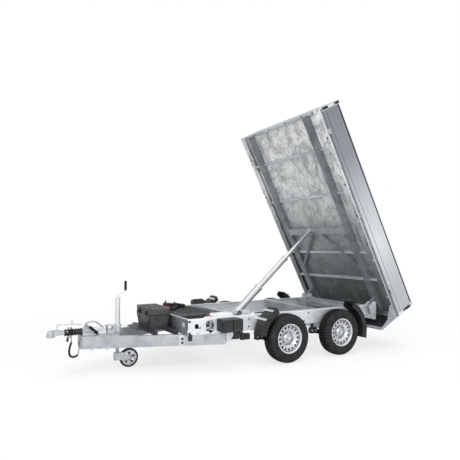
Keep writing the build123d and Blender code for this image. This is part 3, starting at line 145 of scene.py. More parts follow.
class Shader:
    """A Principled material with its object coordinates at hand."""

    def __init__(self, name, metallic=0.0, roughness=0.5, turn=(0, 0, 0)):
        self.material = bpy.data.materials.new(name)
        self.material.use_nodes = True
        self.tree = self.material.node_tree
        self.bsdf = self.tree.nodes["Principled BSDF"]
        self.set(Metallic=metallic, Roughness=roughness)
        self.turn = turn
        self.place = self.add("ShaderNodeTexCoord", "Object")

    def add(self, kind, output, inputs=None, **settings):
        return add_node(self.tree, kind, output, inputs or {}, **settings)

    def set(self, **values):
        """Feeds the Principled node; an underscore stands for a space."""
        feed(self.tree, self.bsdf, {key.replace("_", " "): value for key, value in values.items()})

    def stretch(self, scale):
        """Coordinates along the shader's own turned axes, each scaled by itself."""
        inputs = {"Vector": self.place, "Scale": [1 / part for part in scale], "Rotation": self.turn}
        return self.add("ShaderNodeMapping", "Vector", inputs, vector_type="TEXTURE")

    def noise(self, scale, detail=4.0, roughness=0.55, vector=None, distortion=0.0):
        return self.add("ShaderNodeTexNoise", "Fac", {
            "Vector": vector or self.place, "Scale": scale, "Detail": detail,
            "Roughness": roughness, "Distortion": distortion,
        })

    def cells(self, scale):
        colour = self.add("ShaderNodeTexVoronoi", "Color", {"Vector": self.place, "Scale": scale})
        return self.add("ShaderNodeSeparateColor", "Red", {"Color": colour})

    def spread(self, value, low, high, to_low=0.0, to_high=1.0):
        return self.add("ShaderNodeMapRange", "Result", {
            "Value": value, "From Min": low, "From Max": high, "To Min": to_low, "To Max": to_high,
        })

    def ramp(self, value, tones):
        """A colour that changes along value, through tones given as (place, colour)."""
        ramp = self.tree.nodes.new("ShaderNodeValToRGB")
        points = ramp.color_ramp.elements
        while len(points) < len(tones):
            points.new(0.5)
        for point, (place, colour) in zip(points, tones):
            point.position = place
            point.color = (*colour, 1)
        feed(self.tree, ramp, {"Fac": value})
        return ramp.outputs["Color"]

    def math(self, operation, first, second):
        return self.add("ShaderNodeMath", "Value", {0: first, 1: second}, operation=operation)

    def mix(self, share, first, second):
        """Mixes two colours; a mix node has them as inputs 6 and 7 and gives output 2."""
        first, second = ((*tone, 1) if isinstance(tone, tuple) else tone for tone in (first, second))
        return self.add("ShaderNodeMix", 2, {0: share, 6: first, 7: second}, data_type="RGBA")

    def bump(self, height, strength, distance):
        inputs = {"Height": height, "Strength": strength, "Distance": distance}
        self.set(Normal=self.add("ShaderNodeBump", "Normal", inputs))


def galvanised(name, bright, dark, cloud=3.0, metallic=0.45, turn=(0, 0, 0)):
    """Hot-dip zinc: clouds in the coat, small crystals and a slightly uneven sheen."""
    shader = Shader(name, metallic=metallic, turn=turn)
    clouds = shader.spread(shader.noise(cloud, detail=7, roughness=0.62, distortion=0.9), 0.34, 0.68)
    base = shader.mix(clouds, dark, bright)
    crystal = shader.spread(shader.cells(90), 0.0, 1.0, 0.0, 0.22)
    shader.set(Base_Color=shader.mix(crystal, base, tuple(0.55 * part for part in dark)))
    shader.set(Roughness=shader.spread(shader.noise(cloud * 6), 0.3, 0.7, 0.34, 0.58))
    shader.bump(shader.noise(260, detail=3), 0.12, 0.0006)
    return shader.material


def floor_sheet():
    """The bed floor's underside: a ramp paints light and shade along it, pale at the front and painted shade
    low down, with smoky marks and thin runs.
    """
    shader = Shader("galvanised_sheet", metallic=0.15, turn=bed_turn)
    along = shader.stretch((1, 1, 1))
    place = shader.add("ShaderNodeSeparateXYZ", "X", {"Vector": along})
    # Painted light and shade: painted shade low down on the bed, growing pale towards its front
    base = shader.ramp(shader.spread(place, *tone_reach), [
        (0.405, (0.135, 0.143, 0.146)), (0.455, (0.195, 0.208, 0.212)), (0.56, (0.38, 0.395, 0.40)),
        (0.67, (0.68, 0.69, 0.695)), (0.80, (0.84, 0.845, 0.84)), (1.00, (0.88, 0.88, 0.87)),
    ])
    smoke = shader.noise(1.5, detail=10, roughness=0.7, vector=along, distortion=2.2)
    clouds = shader.spread(smoke, 0.44, 0.60)
    smoky = shader.mix(shader.math("MULTIPLY", clouds, 0.52), base, (0.10, 0.11, 0.11))

    def lines(noise, level, width, depth):
        """Thin lines where the noise passes a level."""
        away = shader.math("ABSOLUTE", shader.math("SUBTRACT", noise, level), 0)
        return shader.spread(away, 0.0, width, depth, 0.0)

    veins = lines(shader.noise(0.9, detail=8, roughness=0.6, vector=along, distortion=5.0), 0.5, 0.016, 0.8)
    runs = lines(shader.noise(2.1, detail=6, roughness=0.62, vector=along, distortion=3.2), 0.46, 0.010, 0.6)
    marked = shader.mix(shader.math("MAXIMUM", veins, runs), smoky, (0.06, 0.066, 0.066))
    pale = shader.spread(shader.noise(2.7, detail=6, vector=along, distortion=1.2), 0.56, 0.72, 0.0, 0.16)
    shader.set(Base_Color=shader.mix(pale, marked, (0.80, 0.81, 0.81)))
    shader.set(Roughness=shader.spread(shader.noise(14, vector=along), 0.3, 0.7, 0.35, 0.6))
    shader.bump(shader.noise(240, detail=3), 0.1, 0.0006)
    return shader.material


def plastic(name, colour, lift, roughness=(0.42, 0.6), specular=0.28, grain=900.0):
    """Moulded plastic: fine grain, and dust that lightens it here and there."""
    shader = Shader(name)
    shader.set(Specular_IOR_Level=specular)
    shader.set(Base_Color=shader.mix(shader.spread(shader.noise(9, detail=6), 0.35, 0.75), colour, lift))
    shader.set(Roughness=shader.spread(shader.noise(30), 0.3, 0.7, *roughness))
    shader.bump(shader.noise(grain, detail=2), 0.25, 0.0004)
    return shader.material


def panel_aluminium(name="panel_aluminium", lift=1.0):
    """Extruded panel: fine streaks along the bed, dark towards its front and pale low down, where its ramp
    paints a reflection: a painted highlight low down and painted shade towards the front. Lift brightens the
    whole ramp for a lit copy.
    """
    shader = Shader(name, metallic=0.25, turn=bed_turn)
    along = shader.stretch((0.35, 9, 30))
    streaks = shader.noise(3, detail=5, vector=along)
    place = shader.add("ShaderNodeSeparateXYZ", "X", {"Vector": shader.stretch((1, 1, 1))})
    # Painted reflection: a painted highlight low on the bed, darkening to painted shade towards its front
    tones = [
        (0.38, (0.52, 0.54, 0.57)), (0.52, (0.72, 0.74, 0.76)), (0.64, (0.50, 0.53, 0.56)),
        (0.76, (0.248, 0.268, 0.292)), (0.88, (0.190, 0.210, 0.232)), (1.00, (0.200, 0.220, 0.242)),
    ]
    lifted = [(at, tuple(min(0.85, lift * part) for part in tone)) for at, tone in tones]
    base = shader.ramp(shader.spread(place, *tone_reach), lifted)
    shade = shader.spread(streaks, 0.3, 0.7, 0.22, 0.0)
    shader.set(Base_Color=shader.mix(shade, base, (0.14, 0.155, 0.17)))
    shader.set(Roughness=shader.spread(streaks, 0.3, 0.7, 0.3, 0.45))
    shader.bump(shader.noise(420, detail=2), 0.08, 0.0004)
    return shader.material


def tyre_rubber():
    shader = Shader("tyre_rubber")
    shader.set(Specular_IOR_Level=0.18)
    dust = shader.spread(shader.noise(14, detail=6), 0.42, 0.75)
    shader.set(Base_Color=shader.mix(dust, (0.012, 0.0125, 0.013), (0.034, 0.036, 0.038)))
    shader.set(Roughness=shader.spread(shader.noise(40), 0.3, 0.7, 0.5, 0.75))
    shader.bump(shader.noise(700, detail=2), 0.2, 0.0005)
    return shader.material


def painted(name, low, high, metallic, roughness, scale=18.0, relief=0.05):
    """An even coat whose tone and sheen wander a little."""
    shader = Shader(name, metallic=metallic)
    shader.set(Base_Color=shader.mix(shader.spread(shader.noise(scale, detail=4), 0.35, 0.7), low, high))
    shader.set(Roughness=shader.spread(shader.noise(3 * scale), 0.3, 0.7, *roughness))
    shader.bump(shader.noise(500, detail=2), relief, 0.0003)
    return shader.material


materials = {
    "galv": galvanised("galvanised_bright", (0.66, 0.69, 0.71), (0.40, 0.43, 0.46)),
    # A brighter copy of the zinc for the side members and the parts beside them: painted light
    "galv_side_lit": galvanised("galvanised_side_lit", (0.83, 0.85, 0.87), (0.65, 0.68, 0.71), 2.4),
    "galv_drawbar": galvanised("galvanised_drawbar", (0.51, 0.53, 0.555), (0.32, 0.34, 0.365), 5.0),
    # A darker copy of the zinc for the bed's longitudinals, braces and rail strip: painted shade
    "galv_shaded": galvanised("galvanised_shaded", (0.29, 0.305, 0.32), (0.135, 0.15, 0.16), 4.5, turn=bed_turn),
    "galv_mid": galvanised("galvanised_mid", (0.46, 0.48, 0.50), (0.25, 0.265, 0.28), 4.0),
    # A dark copy of the zinc for the front member's face: painted shade
    "galv_front_shade": galvanised("galvanised_front_shade", (0.24, 0.255, 0.27), (0.11, 0.12, 0.13), 5.0, metallic=0.2),
    "floor": floor_sheet(),
    "plastic": plastic("moulded_black", (0.016, 0.017, 0.019), (0.036, 0.038, 0.041)),
    "guard": plastic("guard_black", (0.012, 0.013, 0.014), (0.026, 0.027, 0.029), grain=500.0),
    # A bright copy of the zinc for the rail lips and hinge stiffeners: painted highlight
    "galv_highlight": galvanised("galvanised_highlight", (0.84, 0.85, 0.86), (0.72, 0.73, 0.75), 8.0, metallic=0.2),
    "tank": plastic("tank_white", (0.80, 0.81, 0.80), (0.70, 0.71, 0.70), (0.3, 0.42)),
    "cap_red": plastic("cap_red", (0.30, 0.010, 0.014), (0.21, 0.009, 0.012), (0.3, 0.45)),
    "lead_red": plastic("lead_red", (0.20, 0.010, 0.014), (0.13, 0.008, 0.010), (0.4, 0.6)),
    "lens_red": plastic("lens_red", (0.32, 0.006, 0.008), (0.42, 0.010, 0.012), (0.12, 0.22)),
    "lens_amber": plastic("lens_amber", (0.62, 0.18, 0.01), (0.70, 0.24, 0.02), (0.12, 0.22)),
    # Black rubber; also the colour of the dark strips, dots and sheets that are painted shade
    "seal": plastic("seal_black", (0.008, 0.0085, 0.009), (0.018, 0.019, 0.020), specular=0.15),
    "panel": panel_aluminium(),
    # A brighter copy of the panel: painted light for the beads, caps, hooks and plate made of it
    "panel_lit": panel_aluminium("panel_lit", 1.18),
    "tyre": tyre_rubber(),
    # Near black for the faces down in the tread cuts: painted shade
    "tyre_groove_shade": plastic("tyre_groove_shade", (0.002, 0.002, 0.002), (0.006, 0.006, 0.0065), (0.8, 0.9), 0.05),
    "box": plastic("box_black", (0.026, 0.027, 0.029), (0.058, 0.060, 0.063), (0.36, 0.5), 0.4),
    "rim": painted("rim_paint", (0.52, 0.53, 0.55), (0.66, 0.67, 0.69), 0.5, (0.32, 0.42)),
    "rim_dark": painted("rim_shade", (0.16, 0.165, 0.175), (0.30, 0.305, 0.315), 0.5, (0.3, 0.45)),
    "drum": painted("drum_black", (0.010, 0.010, 0.011), (0.022, 0.022, 0.023), 0.0, (0.5, 0.7)),
    "zinc": painted("bolt_zinc", (0.50, 0.51, 0.52), (0.66, 0.67, 0.68), 0.7, (0.25, 0.4), 60.0),
    "dark_bolt": painted("bolt_dark", (0.022, 0.022, 0.024), (0.05, 0.05, 0.054), 0.5, (0.4, 0.6), 60.0),
    "tube_zinc": painted("tube_zinc", (0.60, 0.61, 0.63), (0.72, 0.73, 0.74), 0.4, (0.3, 0.4), 8.0),
    "cylinder": painted(
        "cylinder_metal", (0.46, 0.47, 0.48), (0.54, 0.55, 0.55), 0.8, (0.24, 0.30), 2.0, relief=0.01
    ),
}
slot_material = {
    "tyre": "tyre",
    "rim_steel": "rim",
    "panel_aluminium": "panel",
    "black_plastic": "plastic",
    "cable_rubber": "plastic",
    "cylinder_steel": "cylinder",
    "floor_steel": "floor",
    "galvanised_steel": "galv",
}
# Nodes whose look differs from their slot's own. The lit copy of the zinc on the side members and the shaded
# copy on the bed's longitudinals and braces are painted light and painted shade
special_nodes = {
    "guard": ["mudguards"],
    "galv_side_lit": ["side_member_left", "side_member_right", "hinge_brackets", "cylinder_cradle"],
    "galv_drawbar": ["drawbar_left", "drawbar_right", "drawbar_nose", "coupling_head"],
    "galv_mid": ["cross_members", "bed_main_member", "rear_skirt", "handbrake_lever", "jockey_leg"],
    "galv_shaded": ["bed_longitudinals", "bed_braces"],
    "plastic": ["drawbar_plate", "side_box"],
    "box": ["toolbox", "toolbox_lid", "power_unit"],
    "floor": ["side_rails"],
    "zinc": ["mudguard_stays"],
    "tube_zinc": ["jockey_tube"],
}
node_material = {node: kind for kind, members in special_nodes.items() for node in members}
cable_piece.data.materials.append(materials["seal"])
conduit.data.materials.append(materials["seal"])
for subpart in frame["record"]["subparts"]:
    name = subpart["node"]
    kind = node_material.get(name) or slot_material[subpart["material_slot"]]
    nodes[name].data.materials.clear()
    nodes[name].data.materials.append(materials[kind])


# Forms

def facing(place, ahead, up=(0, 0, 1)):
    """The placing whose Z runs along ahead and whose X lies as near to up as it can."""
    z_axis = Vector(ahead).normalized()
    x_axis = Vector(up) - z_axis * Vector(up).dot(z_axis)
    if x_axis.length < 1e-6:
        x_axis = Vector((1, 0, 0)) - z_axis * z_axis.x
    x_axis.normalize()
    y_axis = z_axis.cross(x_axis)
    turn = Matrix((x_axis, y_axis, z_axis)).transposed().to_4x4()
    return Matrix.Translation(Vector(place)) @ turn


def circle(sides):
    """The cosine and sine of equal turns all round."""
    turns = (2 * math.pi * k / sides for k in range(sides))
    return [(math.cos(turn), math.sin(turn)) for turn in turns]


def to_data(mesh, name):
    """Makes the mesh data of a finished bmesh."""
    data = bpy.data.meshes.new(name)
    mesh.to_mesh(data)
    mesh.free()
    return data


class Form:
    """Gathers one piece's geometry in the row frame, then makes the piece."""

    def __init__(self, crease=32):
        self.mesh = bmesh.new()
        self.crease = math.radians(crease)

    def loft(self, rings):
        """Joins rings of as many points each, and closes both ends."""
        made = [[self.mesh.verts.new(point) for point in ring] for ring in rings]
        count = len(made[0])
        for first, second in zip(made, made[1:]):
            for k in range(count):
                after = (k + 1) % count
                self.mesh.faces.new((first[k], first[after], second[after], second[k]))
        self.mesh.faces.new(list(reversed(made[0])))
        self.mesh.faces.new(made[-1])

    def prism(self, outline, place, depth, bevel=0.0):
        """An outline in the placing's XY plane, pushed out along its Z, with its far rim drawn in."""
        middle = sum((Vector(point) for point in outline), Vector((0, 0))) / len(outline)

        def ring(height, inset):
            points = []
            for point in outline:
                out = Vector(point) - middle
                flat = middle + out * max(0.0, 1 - inset / max(out.length, 1e-6))
                points.append(place @ Vector((flat.x, flat.y, height)))
            return points

        rings = [ring(0, 0), ring(depth - bevel, 0)]
        if bevel:
            rings.append(ring(depth, bevel))
        self.loft(rings)

    def block(self, size, place, round_by, steps):
        """A box on the placing's XY plane with rounded upright corners and a drawn-in top."""
        half_x, half_y = size[0] / 2, size[1] / 2
        outline = []
        for corner, (way_x, way_y) in enumerate(((1, 1), (-1, 1), (-1, -1), (1, -1))):
            for step in range(steps + 1):
                turn = math.radians(90 * corner + 90 * step / steps)
                outline.append((
                    way_x * (half_x - round_by) + round_by * math.cos(turn),
                    way_y * (half_y - round_by) + round_by * math.sin(turn),
                ))
        self.prism(outline, place, size[2], bevel=min(round_by, size[2] / 3) * 0.6)

    def turned(self, profile, place, sides):
        """A profile of (height, radius) points turned about the placing's Z."""
        self.loft([
            [place @ Vector((radius * cos, radius * sin, height)) for cos, sin in circle(sides)]
            for height, radius in profile
        ])

    def knob(self, place, radius, edge, top_radius, top, sides=24):
        """A round knob, straight up to its edge and drawn in to its top."""
        self.turned([(0, radius), (edge, radius), (top, top_radius), (top, 0)], place, sides)

    def bolt(self, place, across, height, washer=True):
        """A hexagon head on its washer."""
        if washer:
            self.turned([(0, 0.62 * across), (0.002, 0.62 * across), (0.002, 0.5 * across)], place, 20)
        radius = across / math.sqrt(3)
        hexagon = [(radius * cos, radius * sin) for cos, sin in circle(6)]
        self.prism(hexagon, place @ Matrix.Translation((0, 0, 0.002)), height, bevel=0.0015)

    def hose(self, points, radius, sides=10, steps=8):
        """A tube along a smooth line through the points."""
        line = []
        places = [Vector(point) for point in points]
        for k in range(len(places) - 1):
            before = places[max(k - 1, 0)]
            after = places[min(k + 2, len(places) - 1)]
            for step in range(steps):
                share = step / steps
                line.append(0.5 * (
                    2 * places[k]
                    + (places[k + 1] - before) * share
                    + (2 * before - 5 * places[k] + 4 * places[k + 1] - after) * share ** 2
                    + (3 * places[k] - before - 3 * places[k + 1] + after) * share ** 3
                ))
        line.append(places[-1])
        rings = []
        side = None
        for k, here in enumerate(line):
            ahead = (line[min(k + 1, len(line) - 1)] - line[max(k - 1, 0)]).normalized()
            if side is None:
                side = ahead.orthogonal().normalized()
            side = (side - ahead * side.dot(ahead)).normalized()
            other = ahead.cross(side)
            rings.append([here + radius * (side * cos + other * sin) for cos, sin in circle(sides)])
        self.loft(rings)

    def finish(self, name, kind, slot="galvanised_steel", body="chassis", replaces=()):
        """Makes the piece, with edges sharper than the crease left sharp."""
        bmesh.ops.recalc_face_normals(self.mesh, faces=self.mesh.faces)
        for face in self.mesh.faces:
            face.smooth = True
        for edge in self.mesh.edges:
            if len(edge.link_faces) == 2 and edge.calc_face_angle() > self.crease:
                edge.smooth = False
        piece = add_object(name, to_data(self.mesh, name))
        piece.data.materials.append(materials[kind])
        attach(piece, body)
        if replaces:
            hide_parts(*replaces)
        return piece


# Wheels: treaded tyres, pressed rims with oval vents, dark drums, hubs and nuts

wheel_places = ["front_left", "front_right", "rear_left", "rear_right"]
tyre_radius = 0.325

# The tread: ribs beside three grooves, then shoulder blocks out to the side wall
tread_pitches = 46
tread_depth = 0.008
rib_cut_depth = 0.006
shoulder_cut_depth = 0.009
rib_slant = 3.0
rib_edges = [0.003, 0.0205, 0.0265, 0.0435, 0.0495]
rib_middle = 0.009
shoulder_rows = [0.055, 0.0625, 0.069, 0.0745, 0.079]
crown_width = 0.062
crown_drop = 0.0055
shoulder_fall = 9.0
side_wall_rows = [
    # beside the middle, radius: from the shoulder down to the bead and round inside it
    (0.0845, 0.300), (0.0900, 0.283), (0.0930, 0.264), (0.0935, 0.250), (0.0915, 0.246),
    (0.0905, 0.232), (0.0870, 0.219), (0.0855, 0.2155), (0.0820, 0.213), (0.0790, 0.203),
    (0.0735, 0.198), (0.0700, 0.186), (0.0660, 0.178),
]


def crown(beside):
    """The tread's radius at a distance beside the tyre's middle."""
    past_crown = max(0.0, beside - crown_width)
    return tyre_radius - crown_drop * (beside / crown_width) ** 2 - shoulder_fall * past_crown ** 1.6


def tyre_rows():
    """Half of the tyre's rows, from its middle: beside, radius, and how the tread cuts it."""
    rows = [(0.0, crown(0) - tread_depth, "groove")]
    before, after = "groove", "rib"
    for edge in rib_edges:
        for offset, kind in ((-0.0005, before), (0.0005, after)):
            beside = edge + offset
            drop = tread_depth if kind == "groove" else 0.0
            rows.append((beside, crown(beside) - drop, kind))
        if after == "rib" and edge != rib_edges[-1]:
            rows.append((edge + rib_middle, crown(edge + rib_middle), "rib"))
        before, after = after, before
    rows.extend((beside, crown(beside), "shoulder") for beside in shoulder_rows)
    rows.extend((beside, radius, "wall") for beside, radius in side_wall_rows)
    return rows


def make_tyre(place):
    middle = [(low + high) / 2 for low, high in zip(*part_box("tyre_" + place))]
    half = tyre_rows()
    rows = [(-beside, radius, kind) for beside, radius, kind in reversed(half[1:])] + half
    # Each pitch is cut twice, and each cut has two sections at its foot: 1 and 2, or 5 and 6
    sections = [0.0, 0.03, 0.23, 0.26, 0.5, 0.53, 0.73, 0.76]
    form = Form(crease=40)
    rings, sunk = [], []
    for pitch in range(tread_pitches):
        for index, share in enumerate(sections):
            turn = 2 * math.pi * (pitch + share) / tread_pitches
            ring, low = [], []
            for beside, radius, kind in rows:
                lead = rib_slant * beside if kind == "rib" else 0.0
                depth = 0.0
                if kind == "rib" and index in ((1, 2) if beside > 0 else (5, 6)):
                    depth = rib_cut_depth
                elif kind == "shoulder" and index in ((5, 6) if beside > 0 else (1, 2)):
                    depth = shoulder_cut_depth
                reach = radius - depth
                ring.append(form.mesh.verts.new((
                    middle[0] + reach * math.cos(turn + lead),
                    middle[1] + beside,
                    middle[2] + reach * math.sin(turn + lead),
                )))
                low.append(kind == "groove" or depth > 0)
            rings.append(ring)
            sunk.append(low)
    for k, (first, first_low) in enumerate(zip(rings, sunk)):
        following = (k + 1) % len(rings)
        second, second_low = rings[following], sunk[following]
        for j in range(len(rows)):
            after = (j + 1) % len(rows)
            face = form.mesh.faces.new((first[j], first[after], second[after], second[j]))
            # Faces in the tread cuts take the darker groove material: painted shade
            in_cut = first_low[j] or first_low[after] or second_low[after] or second_low[j]
            face.material_index = 1 if in_cut else 0
    tyre = form.finish("tread_tyre_" + place, "tyre", "tyre", "wheel_" + place, ["tyre_" + place])
    tyre.data.materials.append(materials["tyre_groove_shade"])


# Turned profiles of a wheel: distance outwards from its middle, radius
rim_profile = [
    # inner flange, outer barrel and outer lip
    (-0.076, 0.1955), (-0.0765, 0.1775), (-0.058, 0.172), (0.040, 0.1725), (0.0445, 0.1765),
    (0.066, 0.1775), (0.0725, 0.183), (0.0745, 0.194), (0.0785, 0.1965), (0.080, 0.194),
    (0.0785, 0.1905), (0.077, 0.1825), (0.069, 0.1760), (0.046, 0.1745), (0.030, 0.1735),
    # groove behind the lip, then the disc's outer face down to its middle
    (0.028, 0.1700), (0.034, 0.1665), (0.048, 0.1645), (0.0535, 0.1610), (0.0545, 0.146),
    (0.0495, 0.130), (0.041, 0.115), (0.029, 0.102), (0.0255, 0.095), (0.0255, 0.064),
    (0.030, 0.055), (0.0385, 0.048), (0.038, 0.043), (0.034, 0.0395), (0.030, 0.040),
    # the disc's inner face and the barrel's inside
    (0.020, 0.046), (0.016, 0.060), (0.016, 0.098), (0.018, 0.104), (0.030, 0.118),
    (0.038, 0.136), (0.041, 0.158), (0.030, 0.1615), (0.022, 0.166), (-0.060, 0.1665),
    (-0.071, 0.1745), (-0.0735, 0.1875),
]
# Thin rings in the darker rim paint, in the groove behind the lip and over the disc's recessed middle:
# painted shade
groove_profile = [(0.042, 0.1650), (0.0465, 0.1650), (0.0465, 0.1740), (0.042, 0.1740)]
recess_profile = [(0.0258, 0.0), (0.0262, 0.066), (0.0262, 0.0945), (0.0258, 0.0955), (0.0250, 0.0)]
drum_profile = [(-0.078, 0.0), (-0.078, 0.135), (-0.070, 0.158), (0.004, 0.160), (0.012, 0.150), (0.013, 0.0)]
hub_profile = [
    (0.010, 0.0), (0.010, 0.041), (0.034, 0.041), (0.037, 0.034),
    (0.060, 0.0325), (0.067, 0.029), (0.070, 0.020), (0.071, 0.0),
]
nut_seat_profile = [(0, 0.0135), (0.005, 0.0115), (0.005, 0.0)]
valve_profile = [(0.043, 0.0), (0.043, 0.0045), (0.075, 0.004), (0.076, 0.003), (0.076, 0.0)]

vent_count = 16
vent_ring = 0.1455
vent_half = (0.0165, 0.0190)
vent_sides = 20
nut_count = 5
nut_ring = 0.078
valve_turn = 0.35
valve_ring = 0.1645


def wheel_placing(place):
    """The wheel's middle, with Z pointing out of the trailer's side."""
    low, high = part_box("tyre_" + place)
    middle = [(a + b) / 2 for a, b in zip(low, high)]
    return facing(middle, (0, 1 if middle[1] > 0 else -1, 0))


def ring_mesh(name, profile, sides):
    """A closed profile of (height, radius) points turned about Z."""
    mesh = bmesh.new()
    rings = [
        [mesh.verts.new((radius * cos, radius * sin, height)) for cos, sin in circle(sides)]
        for height, radius in profile
    ]
    for first, second in zip(rings, rings[1:] + rings[:1]):
        for k in range(sides):
            after = (k + 1) % sides
            mesh.faces.new((first[k], first[after], second[after], second[k]))
    bmesh.ops.recalc_face_normals(mesh, faces=mesh.faces)
    return to_data(mesh, name)


def vented_rim_mesh():
    """The rim turned once, with its oval vents cut by a Boolean modifier."""
    body = add_object("rim_blank", ring_mesh("rim_blank", rim_profile, 96))
    cutter = Form()
    oval = [(vent_half[0] * cos, vent_half[1] * sin) for cos, sin in circle(vent_sides)]
    for k in range(vent_count):
        turned = Matrix.Rotation(2 * math.pi * k / vent_count, 4, "Z")
        cutter.prism(oval, turned @ Matrix.Translation((vent_ring, 0, 0.01)), 0.08)
    bmesh.ops.recalc_face_normals(cutter.mesh, faces=cutter.mesh.faces)
    cut = add_object("vent_cutter", to_data(cutter.mesh, "vent_cutter"))
    boolean = body.modifiers.new("vents", "BOOLEAN")
    boolean.operation = "DIFFERENCE"
    boolean.solver = "EXACT"
    boolean.object = cut
    bpy.context.view_layer.update()
    made = bpy.data.meshes.new_from_object(body.evaluated_get(bpy.context.evaluated_depsgraph_get()))
    for helper in (body, cut):
        data = helper.data
        bpy.data.objects.remove(helper)
        bpy.data.meshes.remove(data)
    return made


def form_of(data, placing, crease=32):
    """A form that starts with a finished mesh, moved to its placing."""
    form = Form(crease)
    form.mesh.from_mesh(data)
    bmesh.ops.transform(form.mesh, matrix=placing, verts=form.mesh.verts)
    return form


def make_wheels():
    rim_data = vented_rim_mesh()
    groove_data = ring_mesh("rim_groove", groove_profile, 64)
    for place in wheel_places:
        make_tyre(place)
        placing = wheel_placing(place)
        body = "wheel_" + place
        rim = form_of(rim_data, placing, crease=38)
        rim.finish("pressed_rim_" + place, "rim", "rim_steel", body, ["rim_" + place])
        # Dark rings in the groove and the disc's recess: painted shade
        recess = form_of(groove_data, placing)
        recess.turned(recess_profile, placing, 48)
        recess.finish("disc_recess_" + place, "rim_dark", "rim_steel", body)
        drum = Form()
        drum.turned(drum_profile, placing, 64)
        drum.finish("brake_drum_" + place, "drum", "rim_steel", body)
        hub = Form()
        hub.turned(hub_profile, placing, 40)
        for k in range(nut_count):
            turned = placing @ Matrix.Rotation(2 * math.pi * k / nut_count, 4, "Z")
            seat = turned @ Matrix.Translation((nut_ring, 0, 0.0245))
            hub.turned(nut_seat_profile, seat, 20)
            hub.bolt(seat @ Matrix.Translation((0, 0, 0.003)), across=0.019, height=0.014, washer=False)
        valve = placing @ Matrix.Rotation(valve_turn, 4, "Z") @ Matrix.Translation((valve_ring, 0, 0))
        hub.turned(valve_profile, valve, 12)
        hub.finish("hub_and_nuts_" + place, "zinc", "rim_steel", body)


make_wheels()


# Load bed: strips, dots and sheets of painted shade, lips, beads and caps of painted light, latches, hooks
# and lamps, all placed along the tipped bed

bed_origin = Vector((-2.24214, 0, 0.47674))
bed_ahead = Vector((math.cos(tip_angle), 0, math.sin(tip_angle)))
bed_up = Vector((-math.sin(tip_angle), 0, math.cos(tip_angle)))
bed_half = 1.036
bed_length = 3.328
bed_middle = bed_length / 2
post_front, post_rear = 3.303, 0.025
panel_length = bed_length - 0.12
rail_length = bed_length - 0.02
lash_places = (0.558, 1.238, 1.704, 2.190, 2.903)
hinge_places = (0.430, 1.700, 2.984)
hook_places = (0.36, 0.98, 1.62, 2.30, 2.83)
lamp_drop = -0.1885


def bed_point(along, beside, above):
    return bed_origin + along * bed_ahead + Vector((0, beside, 0)) + above * bed_up


def on_side(along, side, above, proud=0.0):
    """A placing on the bed's side face: X up the panel, Y along the bed and Z outwards."""
    return facing(bed_point(along, side * (bed_half + proud), above), (0, side, 0), bed_up)


def under_bed(along, beside):
    """A placing under the bed: Z down, away from the floor."""
    return facing(bed_point(along, beside, 0.0), -bed_up, bed_ahead)


def behind_bed(along, beside, above):
    """A placing that faces back from the bed's rear end."""
    return facing(bed_point(along, beside, above), -bed_ahead, bed_up)


def dress_panel(side, word):
    """Black strips of painted shade along the panel's groove near its top and the gap at its foot, and foot
    beads and hinge plates in the panel's brighter copy as painted light, which fold down with the dropside.
    """
    shade_lines = Form()
    # Painted shade: a black strip along the groove near the panel's top and one in the gap at its foot
    for above, high, thick in ((0.362, 0.019, 0.0025), (0.108, 0.006, 0.0015)):
        shade_lines.block((high, panel_length, thick), on_side(bed_middle, side, above, -0.0005), 0.001, 1)
    shade_lines.finish("panel_shade_lines_" + word, "seal", "cable_rubber", "dropside_" + word)
    foot = Form()
    for above, high in ((0.080, 0.012), (0.094, 0.010)):
        foot.block((high, panel_length, 0.003), on_side(bed_middle, side, above), 0.003, 2)
    for along in hinge_places:
        foot.block((0.030, 0.062, 0.004), on_side(along, side, 0.064), 0.006, 3)
        for offset in (-0.018, 0.018):
            foot.bolt(on_side(along + offset, side, 0.066, 0.003), 0.012, 0.007, False)
    foot.finish("panel_foot_" + word, "panel_lit", "panel_aluminium", "dropside_" + word)


def dress_rail(side, word):
    """The side rail's lower lip in the bright copy of the zinc as a painted highlight, a strip in the darker
    copy as painted shade, and black dots in its lashing holes as painted shade.
    """
    lip = Form()
    lip.block((rail_length, 0.018, 0.002), under_bed(bed_middle, side * 1.024), 0.001, 1)
    lip.finish("rail_lip_" + word, "galv_highlight", body="bed")
    recess = Form()
    recess.block((0.026, rail_length, 0.0015), on_side(bed_middle, side, 0.021), 0.002, 1)
    recess.finish("rail_recess_" + word, "galv_shaded", body="bed")
    # Black dots standing for the shade inside the lashing holes: painted shade
    hole_shade = Form()
    for along in lash_places:
        hole_shade.knob(under_bed(along, side * 0.990), 0.012, 0.003, 0.008, 0.004, 20)
    hole_shade.finish("lash_hole_shade_" + word, "seal", "cable_rubber", "bed")


